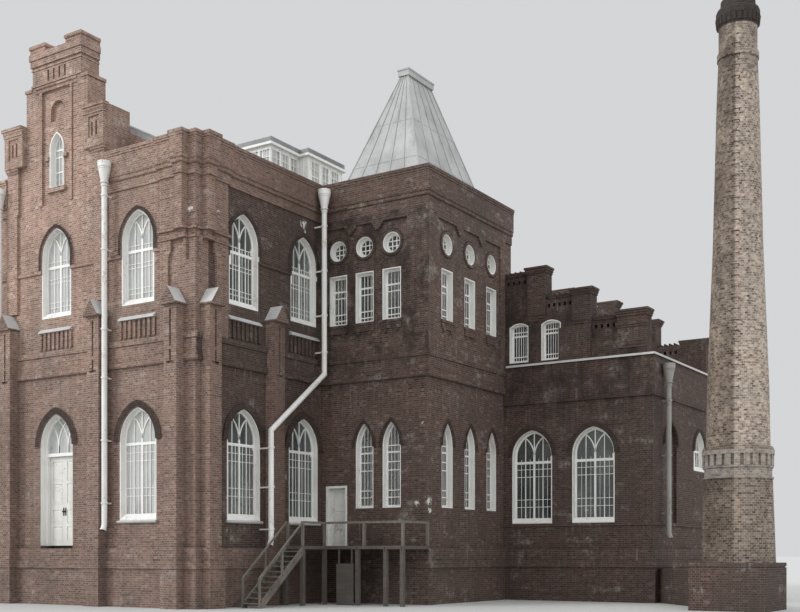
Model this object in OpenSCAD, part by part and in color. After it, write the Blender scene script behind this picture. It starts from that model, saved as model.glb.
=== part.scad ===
// Brick power house: a tall main block with a stepped front gable, a square tower in its flank,
// a lower wing behind the tower and a free-standing round chimney.
// Millimetres, +Z up. South is the front with the gable; east is the side with the tower.
// Heights count from the ground, and the origin is the middle of the footprint.

/* [Main block] */
// Width of the main block along the south front
main_w = 14000; // [13500:100:15500]
// Depth of the main block from south to north
main_d = 20880; // [20600:20:22000]
// Thickness of the brick walls
wall_t = 640; // [520:20:700]
// Height of the parapet above the ground
parapet_z = 16000; // [15800:100:16400]
// Height of the string course between the storeys
string_z = 9270; // [9200:10:9350]
// Level of the ground floor
floor_z = 2150; // [2050:50:2200]
// Level of the upper floor
upper_floor_z = 9000; // [8900:50:9100]

/* [Tower] */
// Width of the tower's south face
tower_w = 4750; // [4700:50:5200]
// Distance from the main front back to the tower's south face
tower_y = 7060; // [7000:20:7500]

/* [Wing] */
// Distance from the main block to the wing's east wall
wing_w = 11080; // [10900:20:11500]
// Distance from the main front back to the wing's south wall
wing_y = 13040; // [13000:20:13100]
// Height of the wing's eaves
eaves_z = 9440; // [9400:10:9500]
// Rise of each step of the wing's gable
gable_step = 1070; // [1040:10:1090]

/* [Chimney] */
// Height of the chimney
chimney_h = 20000; // [19000:100:22000]
// Width of the chimney above its cornice
chimney_w = 2050; // [1950:10:2150]
// Width of the chimney at its neck
chimney_top_w = 1250; // [1150:10:1350]

/* [Doors] */
// Width of the front doorway
door_w = 1740; // [1600:20:1760]
// Height of the front door's leaves
leaf_h = 3300; // [3000:50:3400]

/* [Hidden] */

brick = [0.36, 0.20, 0.16];
pale_brick = [0.62, 0.52, 0.44];
white_paint = [0.93, 0.92, 0.88];
sheet_metal = [0.80, 0.81, 0.80];
timber = [0.50, 0.43, 0.34];
glass_tint = [0.25, 0.29, 0.31];

// Footprint limits, used to put the origin in the middle
cap_out = 550;
plinth_band_out = 220;
chimney_x = 15380;
chimney_y = 9270;
chimney_foot = 2500;
west_edge = -main_w - cap_out;
east_edge = chimney_x + chimney_foot / 2;
south_edge = -cap_out;
north_edge = main_d + plinth_band_out;
centre = [(west_edge + east_edge) / 2, (south_edge + north_edge) / 2, 0];

// Levels shared by all three blocks
plinth_z = 2050;
plinth_out = 150;
plinth_band_z = [1340, 1600];
wall_z = parapet_z - 1435;
ground_sill_z = 3030;
ground_apex_z = 6950;
upper_sill_z = 10520;
upper_apex_z = 13800;
slab_t = 250;

// Courses that stand out from a wall: [bottom, top, distance out]
plinth_courses = [
    [0, plinth_band_z[0], plinth_out],
    [plinth_band_z[0], plinth_band_z[1], plinth_band_out],
    [plinth_band_z[1], plinth_z, plinth_out]];
string_courses = [
    [string_z - 930, string_z - 770, 110],
    [string_z - 770, string_z - 700, 90],
    [string_z - 700, string_z - 630, 75],
    [string_z - 630, string_z - 180, 60],
    [string_z - 180, string_z, 110]];
parapet_courses = [
    [wall_z, parapet_z - 1080, 50],
    [parapet_z - 1080, parapet_z - 930, 100],
    [parapet_z - 930, parapet_z - 200, 130],
    [parapet_z - 200, parapet_z - 110, 150],
    [parapet_z - 110, parapet_z, 170]];
parapet_t = 500;

// Openings of the main block: [centre, width, sill, apex, rise of the arch, transom's drop below the arch]
ground_w = 1767;
upper_w = 1565;
front_axis = -6850;
bay_x = -2680;
west_bay_x = 2 * front_axis - bay_x;
side_bays = [2460, 5890];
far_bays = [9320, 12750, 16180];

function opening(c, w, sill, apex, rise, drop = 0) = [c, w, sill, apex, rise, drop];
function spring_z(o) = o[3] - o[4];
function ground_opening(c) = opening(c, ground_w, ground_sill_z, ground_apex_z, 1150, 160);
function upper_opening(c) = opening(c, upper_w, upper_sill_z, upper_apex_z, 1050, 380);
door_opening = opening(front_axis, door_w, floor_z, 6980, 1150);
gable_opening = opening(front_axis, 750, 15290, 17320, 600);

// Half of an arch, from the springing up to the apex: pointed, or one flat arc where the rise is low
arch_steps = 7;
function arch_side(a, h) = h < a ? flat_side(a, h) : pointed_side(a, h);
function pointed_side(a, h) =
    let (r = (h * h + a * a) / (2 * a), top = acos((r - a) / r))
    [for (i = [0 : arch_steps]) [a - r + r * cos(top * i / arch_steps), r * sin(top * i / arch_steps)]];
function flat_side(a, h) =
    let (r = (h * h + a * a) / (2 * h), turn = asin(a / r))
    [for (i = [arch_steps : -1 : 0]) [r * sin(turn * i / arch_steps), h - r + r * cos(turn * i / arch_steps)]];

// Outline of an opening with a pointed head, with its sill at the origin's height
module pointed(o, grow = 0) {
    a = o[1] / 2 + grow;
    spring = spring_z(o);
    side = arch_side(a, o[4] + grow);
    points = concat(
        [[-a, o[2] - grow], [a, o[2] - grow]],
        [for (p = side) [p[0], spring + p[1]]],
        [for (i = [arch_steps - 1 : -1 : 0]) [-side[i][0], spring + side[i][1]]]);
    translate([o[0], 0]) polygon(points);
}

// Upright slab along X whose outer face is at y, drawn in X and Z
module along_x(y, t) {
    translate([0, y + t, 0]) rotate([90, 0, 0]) linear_extrude(t) children();
}

// Upright slab along Y whose outer face is at x, drawn in Y and Z
module along_y(x, t) {
    translate([x - t, 0, 0]) rotate([90, 0, 90]) linear_extrude(t) children();
}

module area(a0, b0, a1, b1) {
    translate([a0, b0]) square([a1 - a0, b1 - b0]);
}

module block(x0, y0, z0, x1, y1, z1) {
    translate([x0, y0, z0]) cube([x1 - x0, y1 - y0, z1 - z0]);
}

module place() {
    translate(-centre) children();
}

// Turns what is drawn on the south front on to an east front at x
module on_east(x) {
    translate([x, 0, 0]) rotate([0, 0, 90]) children();
}

module on_west() {
    translate([-main_w, 0, 0]) mirror([1, 0, 0]) on_east(0) children();
}

module on_north() {
    translate([0, main_d, 0]) mirror([0, 1, 0]) children();
}

// Plans of the three blocks, grown outwards
module main_plan(out) {
    area(-main_w - out, -out, out, main_d + out);
}

module tower_plan(out) {
    area(0, tower_y - out, tower_w + out, wing_y);
}

module wing_plan(out) {
    area(tower_w, wing_y - out, wing_w + out, main_d + out);
    area(0, main_d - wall_t, tower_w + 1, main_d + out);
}

// A window casing lines the whole opening, with a sash frame set back in it
casing_t = 40;
casing_d = 400;
sash_t = 70;
sash_d = 80;
sash_back = 200;
mullion_w = 80;
transom_w = 100;
glass_t = 12;
glass_back = sash_back + sash_d / 2;
module window_frame(o) {
    difference() {
        pointed(o);
        pointed(o, -casing_t);
    }
}

module sash(o) {
    difference() {
        pointed(o, -casing_t);
        pointed(o, -casing_t - sash_t);
    }
}

// Middle post and cross rail of a wide window, in front of the glass
module window_cross(o) {
    spring = spring_z(o);
    intersection() {
        pointed(o, -casing_t - sash_t);
        union() {
            area(o[0] - mullion_w / 2, o[2], o[0] + mullion_w / 2, spring + mullion_w);
            area(o[0] - o[1], spring - o[5], o[0] + o[1], spring - o[5] + transom_w);
        }
    }
}

// Sloping board at the foot of a wide window, in section from the sash out to the face of the wall
board_lip = 45;
board_rise = 220;
module sill_board(o, y) {
    translate([o[0] - o[1] / 2, y, o[2]]) rotate([90, 0, 90]) linear_extrude(o[1])
        polygon([[0, 0], [sash_back, 0], [sash_back, board_rise], [sash_back - 30, board_rise],
                 [0, board_lip]]);
}

wide_window = 1200;
module frame_x(y, o) {
    along_x(y, casing_d) window_frame(o);
    along_x(y + sash_back, sash_d) sash(o);
    if (o[1] > wide_window) {
        along_x(y + sash_back, sash_d / 2) window_cross(o);
        sill_board(o, y);
    }
}

module frame_y(x, o) {
    translate([x, 0, 0]) rotate([0, 0, 90]) frame_x(0, o);
}

module glass_x(y, o) {
    along_x(y + glass_back, glass_t) pointed(o, -casing_t - sash_t);
}

module glass_y(x, o) {
    along_y(x - glass_back, glass_t) pointed(o, -casing_t - sash_t);
}

// Raised brick ring over an arched opening, from foot_z upwards, on a front at y = 0
hood_out = 60;
module hood_mould(o, w, foot_z) {
    along_x(-hood_out, hood_out) difference() {
        pointed(o, w);
        pointed(o);
        area(o[0] - o[1] - w, o[2] - w - 1, o[0] + o[1] + w, foot_z);
    }
}

ground_hood_w = 250;
upper_hood_w = 130;
return_z = [12190, 12310];
module ground_hood(o) {
    hood_mould(o, ground_hood_w, spring_z(o));
}

module upper_hood(o) {
    hood_mould(o, upper_hood_w, return_z[0]);
}

// Flat course between the hoods of the upper windows
module hood_return(x0, x1, openings) {
    along_x(-hood_out, hood_out) difference() {
        area(x0, return_z[0], x1, return_z[1]);
        for (o = openings) pointed(o);
    }
}

// Row of small uprights under the ledge of an upper window
dentil_count = 8;
dentil_w = 110;
dentil_z = 9350;
ledge_z = 9980;
ledge_w = upper_w + 160;
module dentils(x) {
    pitch = (ledge_w - dentil_w) / (dentil_count - 1);
    for (i = [0 : dentil_count - 1])
        block(x - ledge_w / 2 + i * pitch, -hood_out, dentil_z, x - ledge_w / 2 + i * pitch + dentil_w, 0,
              ledge_z);
}

// Main block

// Buttresses stand at these centres along each front; a corner has one on each face
buttress_w = 580;
buttress_out = 420;
buttress_z = 10200;
cap_z = 10800;
cap_w = 700;
front_buttresses = [-4480, 2 * front_axis + 4480];
south_corner_buttress = 750;
side_corner_buttress = 550;
side_buttresses = [3950];
far_buttresses = [for (y = far_bays) y - 1710];
south_buttresses = concat(front_buttresses, [-south_corner_buttress, -main_w + south_corner_buttress]);
east_buttresses = concat([side_corner_buttress], side_buttresses);
west_buttresses = concat(east_buttresses, far_buttresses);

module buttress(x, grow = 0) {
    area(x - buttress_w / 2 - grow, -buttress_out - grow, x + buttress_w / 2 + grow, 0);
}

module buttress_plan(grow = 0) {
    for (x = south_buttresses) buttress(x, grow);
    rotate(90) for (y = east_buttresses) buttress(y, grow);
    translate([-main_w, 0]) mirror([1, 0]) rotate(90) for (y = west_buttresses) buttress(y, grow);
}

module buttress_bodies() {
    linear_extrude(buttress_z) buttress_plan();
}

front_ground = [ground_opening(bay_x), ground_opening(west_bay_x)];
front_upper = [upper_opening(bay_x), upper_opening(front_axis), upper_opening(west_bay_x)];
east_openings = concat([for (y = side_bays) ground_opening(y)], [for (y = side_bays) upper_opening(y)]);
west_openings = concat([for (y = concat(side_bays, far_bays)) ground_opening(y)],
                       [for (y = concat(side_bays, far_bays)) upper_opening(y)]);
north_openings = concat([for (x = [bay_x, front_axis, west_bay_x]) ground_opening(x)],
                        [for (x = [bay_x, front_axis, west_bay_x]) upper_opening(x)]);

// The plinth follows the buttresses with a smaller step
plinth_wrap = 0.55;
module main_plinth() place() color(brick) difference() {
    for (c = plinth_courses) translate([0, 0, c[0]]) linear_extrude(c[1] - c[0]) {
        main_plan(c[2]);
        buttress_plan(c[2] * plinth_wrap);
    }
    block(-main_w + wall_t, wall_t, -1, -wall_t, main_d - wall_t, plinth_z + 1);
    block(0, tower_y, -1, plinth_band_out + 1, main_d + plinth_band_out + 1, plinth_z + 1);
    tower_plinth_mass();
}

// Courses that run round the main block between its buttresses and up to the tower
module main_strings() {
    difference() {
        for (c = string_courses) translate([0, 0, c[0]]) linear_extrude(c[1] - c[0]) difference() {
            main_plan(c[2]);
            main_plan(0);
            tower_plan(c[2]);
            area(0, tower_y, plinth_band_out, main_d + plinth_band_out);
        }
        buttress_bodies();
    }
}

// Flat pilasters over the front buttresses
pilaster_w = 600;
pilaster_out = 100;
pilaster_z = cap_z + 50;
turret_run = 1540;
module south_relief() {
    main_strings();
    for (o = front_ground) ground_hood(o);
    ground_hood(door_opening);
    for (o = front_upper) upper_hood(o);
    hood_return(-main_w + turret_run, -turret_run, front_upper);
    for (o = front_upper) dentils(o[0]);
    for (x = front_buttresses)
        block(x - pilaster_w / 2, -pilaster_out, pilaster_z, x + pilaster_w / 2, 0, wall_z);
}

// The south wall is built in three parts, so that its doorway stays open
over_door_z = door_opening[3] + 400;
module south_wall_part() {
    along_x(0, wall_t) difference() {
        intersection() {
            area(-main_w, 0, 0, wall_z);
            children();
        }
        for (o = concat(front_ground, front_upper, [door_opening])) pointed(o);
    }
    intersection() {
        south_relief();
        along_x(-buttress_out, buttress_out) children();
    }
}

module main_south_wall_west() place() color(brick) south_wall_part() difference() {
    area(-main_w - plinth_out, plinth_z, front_axis - door_w / 2, wall_z);
    area(front_axis - ground_w, over_door_z, front_axis, wall_z + 1);
}

module main_south_wall_east() place() color(brick) south_wall_part() difference() {
    area(front_axis + door_w / 2, plinth_z, plinth_out, wall_z);
    area(front_axis, over_door_z, front_axis + ground_w, wall_z + 1);
}

module main_south_wall_over_door() place() color(brick) south_wall_part() {
    area(front_axis - door_w / 2, floor_z, front_axis + door_w / 2, over_door_z);
    area(front_axis - ground_w, over_door_z, front_axis + ground_w, wall_z);
}

// Hoods and courses of one long side, drawn as a south front
module side_relief(bays, x1) {
    uppers = [for (y = bays) upper_opening(y)];
    for (y = bays) ground_hood(ground_opening(y));
    for (o = uppers) upper_hood(o);
    hood_return(turret_run, x1, uppers);
}

module main_east_wall() place() color(brick) {
    along_y(0, wall_t) difference() {
        area(wall_t, plinth_z, main_d - wall_t, wall_z);
        for (o = east_openings) pointed(o);
    }
    intersection() {
        main_strings();
        block(0, 0, 0, plinth_out, tower_y, wall_z);
    }
    on_east(0) {
        side_relief(side_bays, tower_y - hood_out);
        for (y = side_bays) dentils(y);
    }
}

module main_west_wall() place() color(brick) {
    along_y(-main_w + wall_t, wall_t) difference() {
        area(wall_t, plinth_z, main_d - wall_t, wall_z);
        for (o = west_openings) pointed(o);
    }
    intersection() {
        main_strings();
        block(-main_w - plinth_out, 0, 0, -main_w, main_d, wall_z);
    }
    on_west() side_relief(concat(side_bays, far_bays), main_d);
}

module main_north_wall() place() color(brick) {
    along_x(main_d - wall_t, wall_t) difference() {
        area(-main_w, plinth_z, 0, wall_z);
        for (o = north_openings) pointed(o);
    }
    intersection() {
        main_strings();
        block(-main_w - plinth_out, main_d, 0, 0, main_d + plinth_out, wall_z);
    }
    on_north() {
        for (o = front_ground) ground_hood(o);
        for (o = front_upper) upper_hood(o);
        ground_hood(ground_opening(front_axis));
        hood_return(-main_w, 0, front_upper);
    }
}

// Stepped gable over the front door
gable_t = 1070;
upper_gable_t = 850;
shoulder_out = 200;
shoulder_x = 2660;
shoulder_inner = 1650;
shoulder_z = [16300, 17820];
neck_x = 1650;
neck_z1 = 19150;
head_x = 1305;
head_z = 20400;
head_flare = 60;
corner_block_w = 750;
corner_block_z = 20700;
panel_x = 750;
panel_z = [14700, 18900];
panel_depth = 60;
niche_w = 750;
niche_z = [17750, 18500];
niche_depth = 200;
slot_count = 4;
slot_w = 90;
slot_z = [19300, 19700];
slot_pitch = 300;
band_relief = 40;
corner_cap_h = 120;
lancet_stop_x = 480;
lancet_stop_z = 16330;

// Mirrors what is drawn to the right of the front's axis on to the left
module both_sides() {
    for (side = [0, 1]) translate([front_axis, 0, 0]) mirror([side, 0, 0]) children();
}

// One shoulder: pilaster, corbels, block with a sunk panel and slits, and its cornice
module shoulder() {
    axis = shoulder_x - pilaster_w / 2 - 60;
    block(axis - pilaster_w / 2, -pilaster_out, wall_z, axis + pilaster_w / 2, 0, shoulder_z[0] - 240);
    for (i = [0 : 2])
        block(axis - pilaster_w / 2 - i * 20, -pilaster_out - i * 35, shoulder_z[0] - 240 + i * 80,
              axis + pilaster_w / 2 + i * 20, 0, shoulder_z[0] - 160 + i * 80);
    difference() {
        block(shoulder_inner, -shoulder_out, shoulder_z[0], shoulder_x, 0, shoulder_z[1] - 330);
        block(shoulder_inner + 250, -shoulder_out - 1, shoulder_z[0] + 350, shoulder_x - 220,
              -shoulder_out + 50, shoulder_z[1] - 420);
        for (x = [shoulder_inner + 340, shoulder_inner + 560])
            block(x, -shoulder_out - 1, shoulder_z[0] + 430, x + slot_w, -1, shoulder_z[1] - 600);
    }
    for (c = [[330, 210, 30], [210, 110, 50], [110, 0, 90]])
        block(shoulder_inner, -shoulder_out - c[2], shoulder_z[1] - c[0], shoulder_x + c[2], 0,
              shoulder_z[1] - c[1]);
}

module front_gable() place() color(brick) {
    along_x(0, gable_t) difference() {
        area(front_axis - shoulder_x, wall_z, front_axis + shoulder_x, shoulder_z[1]);
        pointed(gable_opening);
        area(front_axis - panel_x, panel_z[0], front_axis + panel_x, shoulder_z[1] + 1);
    }
    along_x(panel_depth, gable_t - panel_depth) difference() {
        area(front_axis - panel_x, panel_z[0], front_axis + panel_x, shoulder_z[1]);
        pointed(gable_opening);
        translate([front_axis, 0]) area(-niche_w / 2, niche_z[0], niche_w / 2, shoulder_z[1] + 1);
    }
    along_x(niche_depth, gable_t - niche_depth)
        translate([front_axis, 0]) area(-niche_w / 2, niche_z[0], niche_w / 2, shoulder_z[1]);
    difference() {
        along_x(0, upper_gable_t) translate([front_axis, 0]) {
            area(-neck_x, shoulder_z[1], neck_x, neck_z1);
            area(-head_x, neck_z1, head_x, head_z);
        }
        along_x(-1, panel_depth + 1) translate([front_axis, 0])
            area(-panel_x, shoulder_z[1] - 1, panel_x, panel_z[1]);
        along_x(-1, niche_depth + 1) translate([front_axis, 0]) {
            area(-niche_w / 2, shoulder_z[1] - 1, niche_w / 2, niche_z[1] - niche_w / 2);
            translate([0, niche_z[1] - niche_w / 2]) circle(d = niche_w, $fn = 32);
        }
        for (i = [0 : slot_count - 1]) along_x(-1, niche_depth) translate([front_axis, 0])
            translate([(i - (slot_count - 1) / 2) * slot_pitch, 0])
                area(-slot_w / 2, slot_z[0], slot_w / 2, slot_z[1]);
    }
    // Courses round the head: [bottom, top, distance out]
    for (c = [[neck_z1 + 30, neck_z1 + 100, 40], [slot_z[1] + 80, slot_z[1] + 150, 30],
              [head_z - 480, head_z - 240, head_flare], [head_z - 240, head_z, head_flare + 40]])
        translate([0, 0, c[0]]) linear_extrude(c[1] - c[0]) difference() {
            area(front_axis - head_x - c[2], -c[2], front_axis + head_x + c[2], upper_gable_t);
            area(front_axis - head_x, 0, front_axis + head_x, upper_gable_t);
        }
    both_sides() {
        shoulder();
        block(head_x - corner_block_w, -head_flare, head_z,
              head_x + head_flare, upper_gable_t, corner_block_z - corner_cap_h);
        block(head_x - corner_block_w - band_relief, -head_flare - band_relief, corner_block_z - corner_cap_h,
              head_x + head_flare + band_relief, upper_gable_t, corner_block_z);
        block(head_x, -band_relief, neck_z1 - 110, neck_x + 50, 0, neck_z1);
        block(neck_x, 0, neck_z1 - 110, neck_x + 50, upper_gable_t, neck_z1);
        block(panel_x, -50, panel_z[0], panel_x + 120, 0, panel_z[1]);
    }
    // Bands over the niche, and stops and a sill at the lancet
    for (z = [panel_z[1], panel_z[1] + 160])
        along_x(-band_relief, band_relief)
            area(front_axis - head_x + 200, z, front_axis + head_x - 200, z + 70);
    for (side = [-1, 1]) translate([front_axis + side * lancet_stop_x, 0, lancet_stop_z])
        translate([-90, -band_relief, 0]) cube([180, band_relief + panel_depth, 150]);
    block(front_axis - lancet_stop_x, -band_relief - 20, gable_opening[2] - 160,
          front_axis + lancet_stop_x, panel_depth, gable_opening[2]);
}

// Low-pitched sheet-metal roof with its ridge from front to back
ridge_z = 18700;
roof_foot_z = 15350;
roof_t = 160;
module main_roof() place() color(sheet_metal) {
    half = main_w / 2 - parapet_t;
    translate([-main_w / 2, main_d - parapet_t, 0]) rotate([90, 0, 0])
        linear_extrude(main_d - parapet_t - gable_t) polygon([
            [-half, roof_foot_z], [0, ridge_z], [half, roof_foot_z],
            [half, roof_foot_z - roof_t], [0, ridge_z - roof_t], [-half, roof_foot_z - roof_t]]);
}

module parapet_mass() {
    for (c = parapet_courses) translate([0, 0, c[0]]) linear_extrude(c[1] - c[0]) {
        main_plan(c[2]);
        turret_plans(c[2]);
    }
}

module tower_mass() {
    for (c = parapet_courses) translate([0, 0, c[0]]) linear_extrude(c[1] - c[0]) {
        tower_plan(c[2]);
        area(0, wing_y - 1, tower_w + c[2], wing_y + wall_t);
    }
}

// Triangular wall that closes the roof space behind the parapet, from y towards the rear
roof_end_t = 200;
module roof_end(y) {
    half = main_w / 2 - parapet_t;
    along_x(y, roof_end_t) difference() {
        translate([-main_w / 2, 0]) polygon([[-half, wall_z], [half, wall_z], [half, roof_foot_z - roof_t],
                                             [0, ridge_z - roof_t], [-half, roof_foot_z - roof_t]]);
        pointed(gable_opening);
    }
}

module main_parapet() place() color(brick) {
    parapet_walls();
    roof_end(gable_t);
    roof_end(main_d - parapet_t - roof_end_t);
}

module parapet_walls() difference() {
    for (c = parapet_courses) translate([0, 0, c[0]]) linear_extrude(c[1] - c[0]) main_plan(c[2]);
    block(-main_w + parapet_t, parapet_t, wall_z - 1, -parapet_t, main_d - parapet_t, parapet_z + 1);
    block(front_axis - shoulder_x, -parapet_t, wall_z - 1,
          front_axis + shoulder_x, parapet_t + 1, parapet_z + 1);
    block(0, tower_y, wall_z - 1, plinth_band_out, main_d + plinth_band_out, parapet_z + 1);
    tower_mass();
}

// Corner turrets: on each face a flat strip and a pier stand out from the wall near the corner
strip_out = 100;
pier_run = [330, 650];
pier_out = 310;
recess_w = 820;
recess_apex_z = 12250;
corbel_z = [12540, 12830];
module turret_face(out = 0, pier = pier_out) {
    offset(delta = out) {
        area(-turret_run, -strip_out, -pier_run[0], 0);
        area(-pier_run[1], -pier, -pier_run[0], 0);
    }
}

module turret_pair(out = 0, pier = pier_out) {
    turret_face(out, pier);
    rotate(90) mirror([1, 0]) turret_face(out, pier);
}

module turret_plans(out = 0, pier = pier_out) {
    difference() {
        union() {
            turret_pair(out, pier);
            translate([-main_w, 0]) mirror([1, 0]) turret_pair(out, pier);
        }
        main_plan(out);
    }
}

// Strip beside and over the recess above a corner buttress, which stands c from the corner
module turret_strip(c) {
    along_x(-strip_out, strip_out) difference() {
        area(-turret_run, string_z, -c + recess_w / 2, corbel_z[0]);
        pointed(opening(-c, recess_w, string_z - 1, recess_apex_z, 500));
    }
}

module turret() {
    turret_strip(south_corner_buttress);
    rotate([0, 0, 90]) mirror([1, 0, 0]) turret_strip(side_corner_buttress);
}

module corner_turrets() place() color(brick) {
    difference() {
        union() {
            turret();
            translate([-main_w, 0, 0]) mirror([1, 0, 0]) turret();
        }
        buttress_bodies();
        linear_extrude(corbel_z[0]) buttress_plan(1);
    }
    translate([0, 0, corbel_z[0]]) linear_extrude(corbel_z[1] - corbel_z[0]) turret_plans(0, pier_out / 2);
    translate([0, 0, corbel_z[1]]) linear_extrude(wall_z - corbel_z[1]) turret_plans();
    for (c = parapet_courses) translate([0, 0, c[0]]) linear_extrude(c[1] - c[0]) turret_plans(c[2]);
}

// A slot runs down the middle of each buttress, broken once, and ends in a short cross slot
slit_w = 80;
slit_depth = 90;
slit_z = [8310, 8700, 8800, 10060];
slit_foot_w = 330;
slit_foot_h = 80;
module buttress_slit(x) {
    y0 = -buttress_out - 1;
    block(x - slit_w / 2, y0, slit_z[0], x + slit_w / 2, y0 + slit_depth, slit_z[1]);
    block(x - slit_w / 2, y0, slit_z[2], x + slit_w / 2, y0 + slit_depth, slit_z[3]);
    block(x - slit_foot_w / 2, y0, slit_z[0] - slit_foot_h, x + slit_foot_w / 2, y0 + slit_depth, slit_z[0]);
}

module buttresses() place() color(brick) difference() {
    translate([0, 0, plinth_z]) linear_extrude(buttress_z - plinth_z) buttress_plan();
    for (x = south_buttresses) buttress_slit(x);
    on_east(0) for (y = east_buttresses) buttress_slit(y);
    on_west() for (y = west_buttresses) buttress_slit(y);
}

// Gabled cap of folded sheet
sheet_t = 70;
module cap() {
    half = cap_w / 2;
    rise = cap_z - buttress_z;
    rotate([90, 0, 0]) linear_extrude(cap_out)
        polygon([[-half, 0], [half, 0], [half, sheet_t], [0, rise], [-half, sheet_t]]);
}

module buttress_caps() place() color(sheet_metal) translate([0, 0, buttress_z]) {
    for (x = south_buttresses) translate([x, 0, 0]) cap();
    on_east(0) for (y = east_buttresses) translate([y, 0, 0]) cap();
    on_west() for (y = west_buttresses) translate([y, 0, 0]) cap();
}

module main_floors() place() color(timber) {
    block(-main_w + wall_t, wall_t, floor_z - slab_t, -wall_t, main_d - wall_t, floor_z);
    block(-main_w + wall_t, wall_t, upper_floor_z - slab_t, -wall_t, main_d - wall_t, upper_floor_z);
}

// Glazed lantern astride the ridge, wider at its back part
lantern_x = [-8300, -5700];
lantern_y = [10900, 12950, 15600];
lantern_wide = 500;
lantern_z = 19950;
lantern_t = 100;
lantern_eave = 150;
lantern_light_w = 520;
lantern_light_z = [18850, 19780];
module lantern_part(x0, x1, y0, y1) {
    ring(x0, y0, x1, y1, lantern_t, ridge_z - 1900, lantern_z);
    for (step = [[lantern_eave, 0, 110], [lantern_eave - 60, 110, 330]])
        block(x0 - step[0], y0 - step[0], lantern_z + step[1],
              x1 + step[0], y1 + step[0], lantern_z + step[2]);
}

module ring(x0, y0, x1, y1, t, z0, z1) {
    difference() {
        block(x0, y0, z0, x1, y1, z1);
        block(x0 + t, y0 + t, z0 - 1, x1 - t, y1 - t, z1 + 1);
    }
}

// Lights of the lantern, as boxes between two depths in its walls
lantern_pitch = 640;
module lantern_lights(t0, t1) {
    ridge_x = (lantern_x[0] + lantern_x[1]) / 2;
    front = lantern_y[0];
    middles = [(lantern_y[0] + lantern_y[1]) / 2, (lantern_y[1] + lantern_y[2]) / 2];
    translate([ridge_x, 0, lantern_light_z[0]]) {
        for (i = [-1.5 : 1.5]) translate([i * lantern_pitch - lantern_light_w / 2, front + t0, 0])
            cube([lantern_light_w, t1 - t0, lantern_light_z[1] - lantern_light_z[0]]);
        for (side = [0, 1]) mirror([side, 0, 0]) for (part = [0, 1]) for (i = [-1 : 1])
            translate([lantern_x[1] - ridge_x + part * lantern_wide - t1,
                       middles[part] + i * (lantern_pitch + part * 120) - lantern_light_w / 2, 0])
                cube([t1 - t0, lantern_light_w, lantern_light_z[1] - lantern_light_z[0]]);
    }
}

module roof_lantern() place() color(white_paint) difference() {
    union() {
        lantern_part(lantern_x[0], lantern_x[1], lantern_y[0], lantern_y[1]);
        lantern_part(lantern_x[0] - lantern_wide, lantern_x[1] + lantern_wide, lantern_y[1], lantern_y[2]);
    }
    half = main_w / 2 - parapet_t;
    translate([-main_w / 2, main_d, 0]) rotate([90, 0, 0]) linear_extrude(main_d)
        polygon([[-half, roof_foot_z - 3000], [-half, roof_foot_z], [0, ridge_z], [half, roof_foot_z],
                 [half, roof_foot_z - 3000]]);
    lantern_lights(-1, lantern_t + 1);
}

module main_window_frames() place() color(white_paint) {
    for (o = concat(front_ground, front_upper, [gable_opening])) frame_x(0, o);
    for (o = east_openings) frame_y(0, o);
    translate([-main_w, 0, 0]) mirror([1, 0, 0]) for (o = west_openings) frame_y(0, o);
    on_north() for (o = north_openings) frame_x(0, o);
}

module main_window_glass() place() color(glass_tint) {
    for (o = concat(front_ground, front_upper, [gable_opening])) glass_x(0, o);
    for (o = east_openings) glass_y(0, o);
    translate([-main_w, 0, 0]) mirror([1, 0, 0]) for (o = west_openings) glass_y(0, o);
    on_north() for (o = north_openings) glass_x(0, o);
    along_x(jamb_y + jamb_d / 2, glass_t) fanlight();
    lantern_lights(lantern_t / 2, lantern_t / 2 + glass_t);
}

// Sloping ledges below the upper windows, and sills below the ground windows
ledge_out = 130;
sill_h = 110;
sill_out = 110;
module ledge_x(x) {
    translate([x - ledge_w / 2, 0, ledge_z]) rotate([90, 0, 90]) linear_extrude(ledge_w)
        polygon([[0, 0], [-ledge_out, 0], [-ledge_out, 40], [0, 150]]);
}

module sill_x(x) {
    translate([x - ground_w / 2 - 60, 0, ground_sill_z - sill_h]) rotate([90, 0, 90])
        linear_extrude(ground_w + 120)
        polygon([[0, 0], [-sill_out + 40, 0], [-sill_out, 40], [-sill_out, 70], [0, sill_h]]);
}

module window_sills() place() color(sheet_metal) {
    for (o = front_upper) ledge_x(o[0]);
    for (o = front_ground) sill_x(o[0]);
    on_east(0) for (y = side_bays) {
        ledge_x(y);
        sill_x(y);
    }
    on_west() for (y = concat(side_bays, far_bays)) {
        ledge_x(y);
        sill_x(y);
    }
}

// Front door: two panelled leaves below a pointed light
jamb_t = 90;
jamb_d = 200;
jamb_y = 250;
leaf_gap = 8;
leaf_t = 60;
transom_h = 120;
leaf_w = door_w / 2 - jamb_t - leaf_gap * 3 / 2;
hinge_heights = [250, 1550, 2850];

module fanlight() {
    intersection() {
        pointed(door_opening, -jamb_t);
        area(front_axis - door_w, floor_z + leaf_h + transom_h, front_axis + door_w, door_opening[3]);
    }
}

// Lift-off hinges: the frame carries a pin, and the leaf carries the eye that turns on it.
// Both are drawn for a leaf that runs towards +X from an axis on the Z line.
pin_r = 10;
pin_h = 120;
plate_h = 40;
eye_r = 20;
eye_z = 45;
eye_h = 70;
pin_fit = 0.05;
hinge_out = 26;
hinge_strap = 180;
module hinge_pin() {
    translate([-60 - leaf_gap / 2, -hinge_out, 0])
        cube([60 + pin_r + leaf_gap / 2, hinge_out + pin_r, plate_h]);
    cylinder(r = pin_r, h = pin_h, $fn = 24);
}

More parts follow.
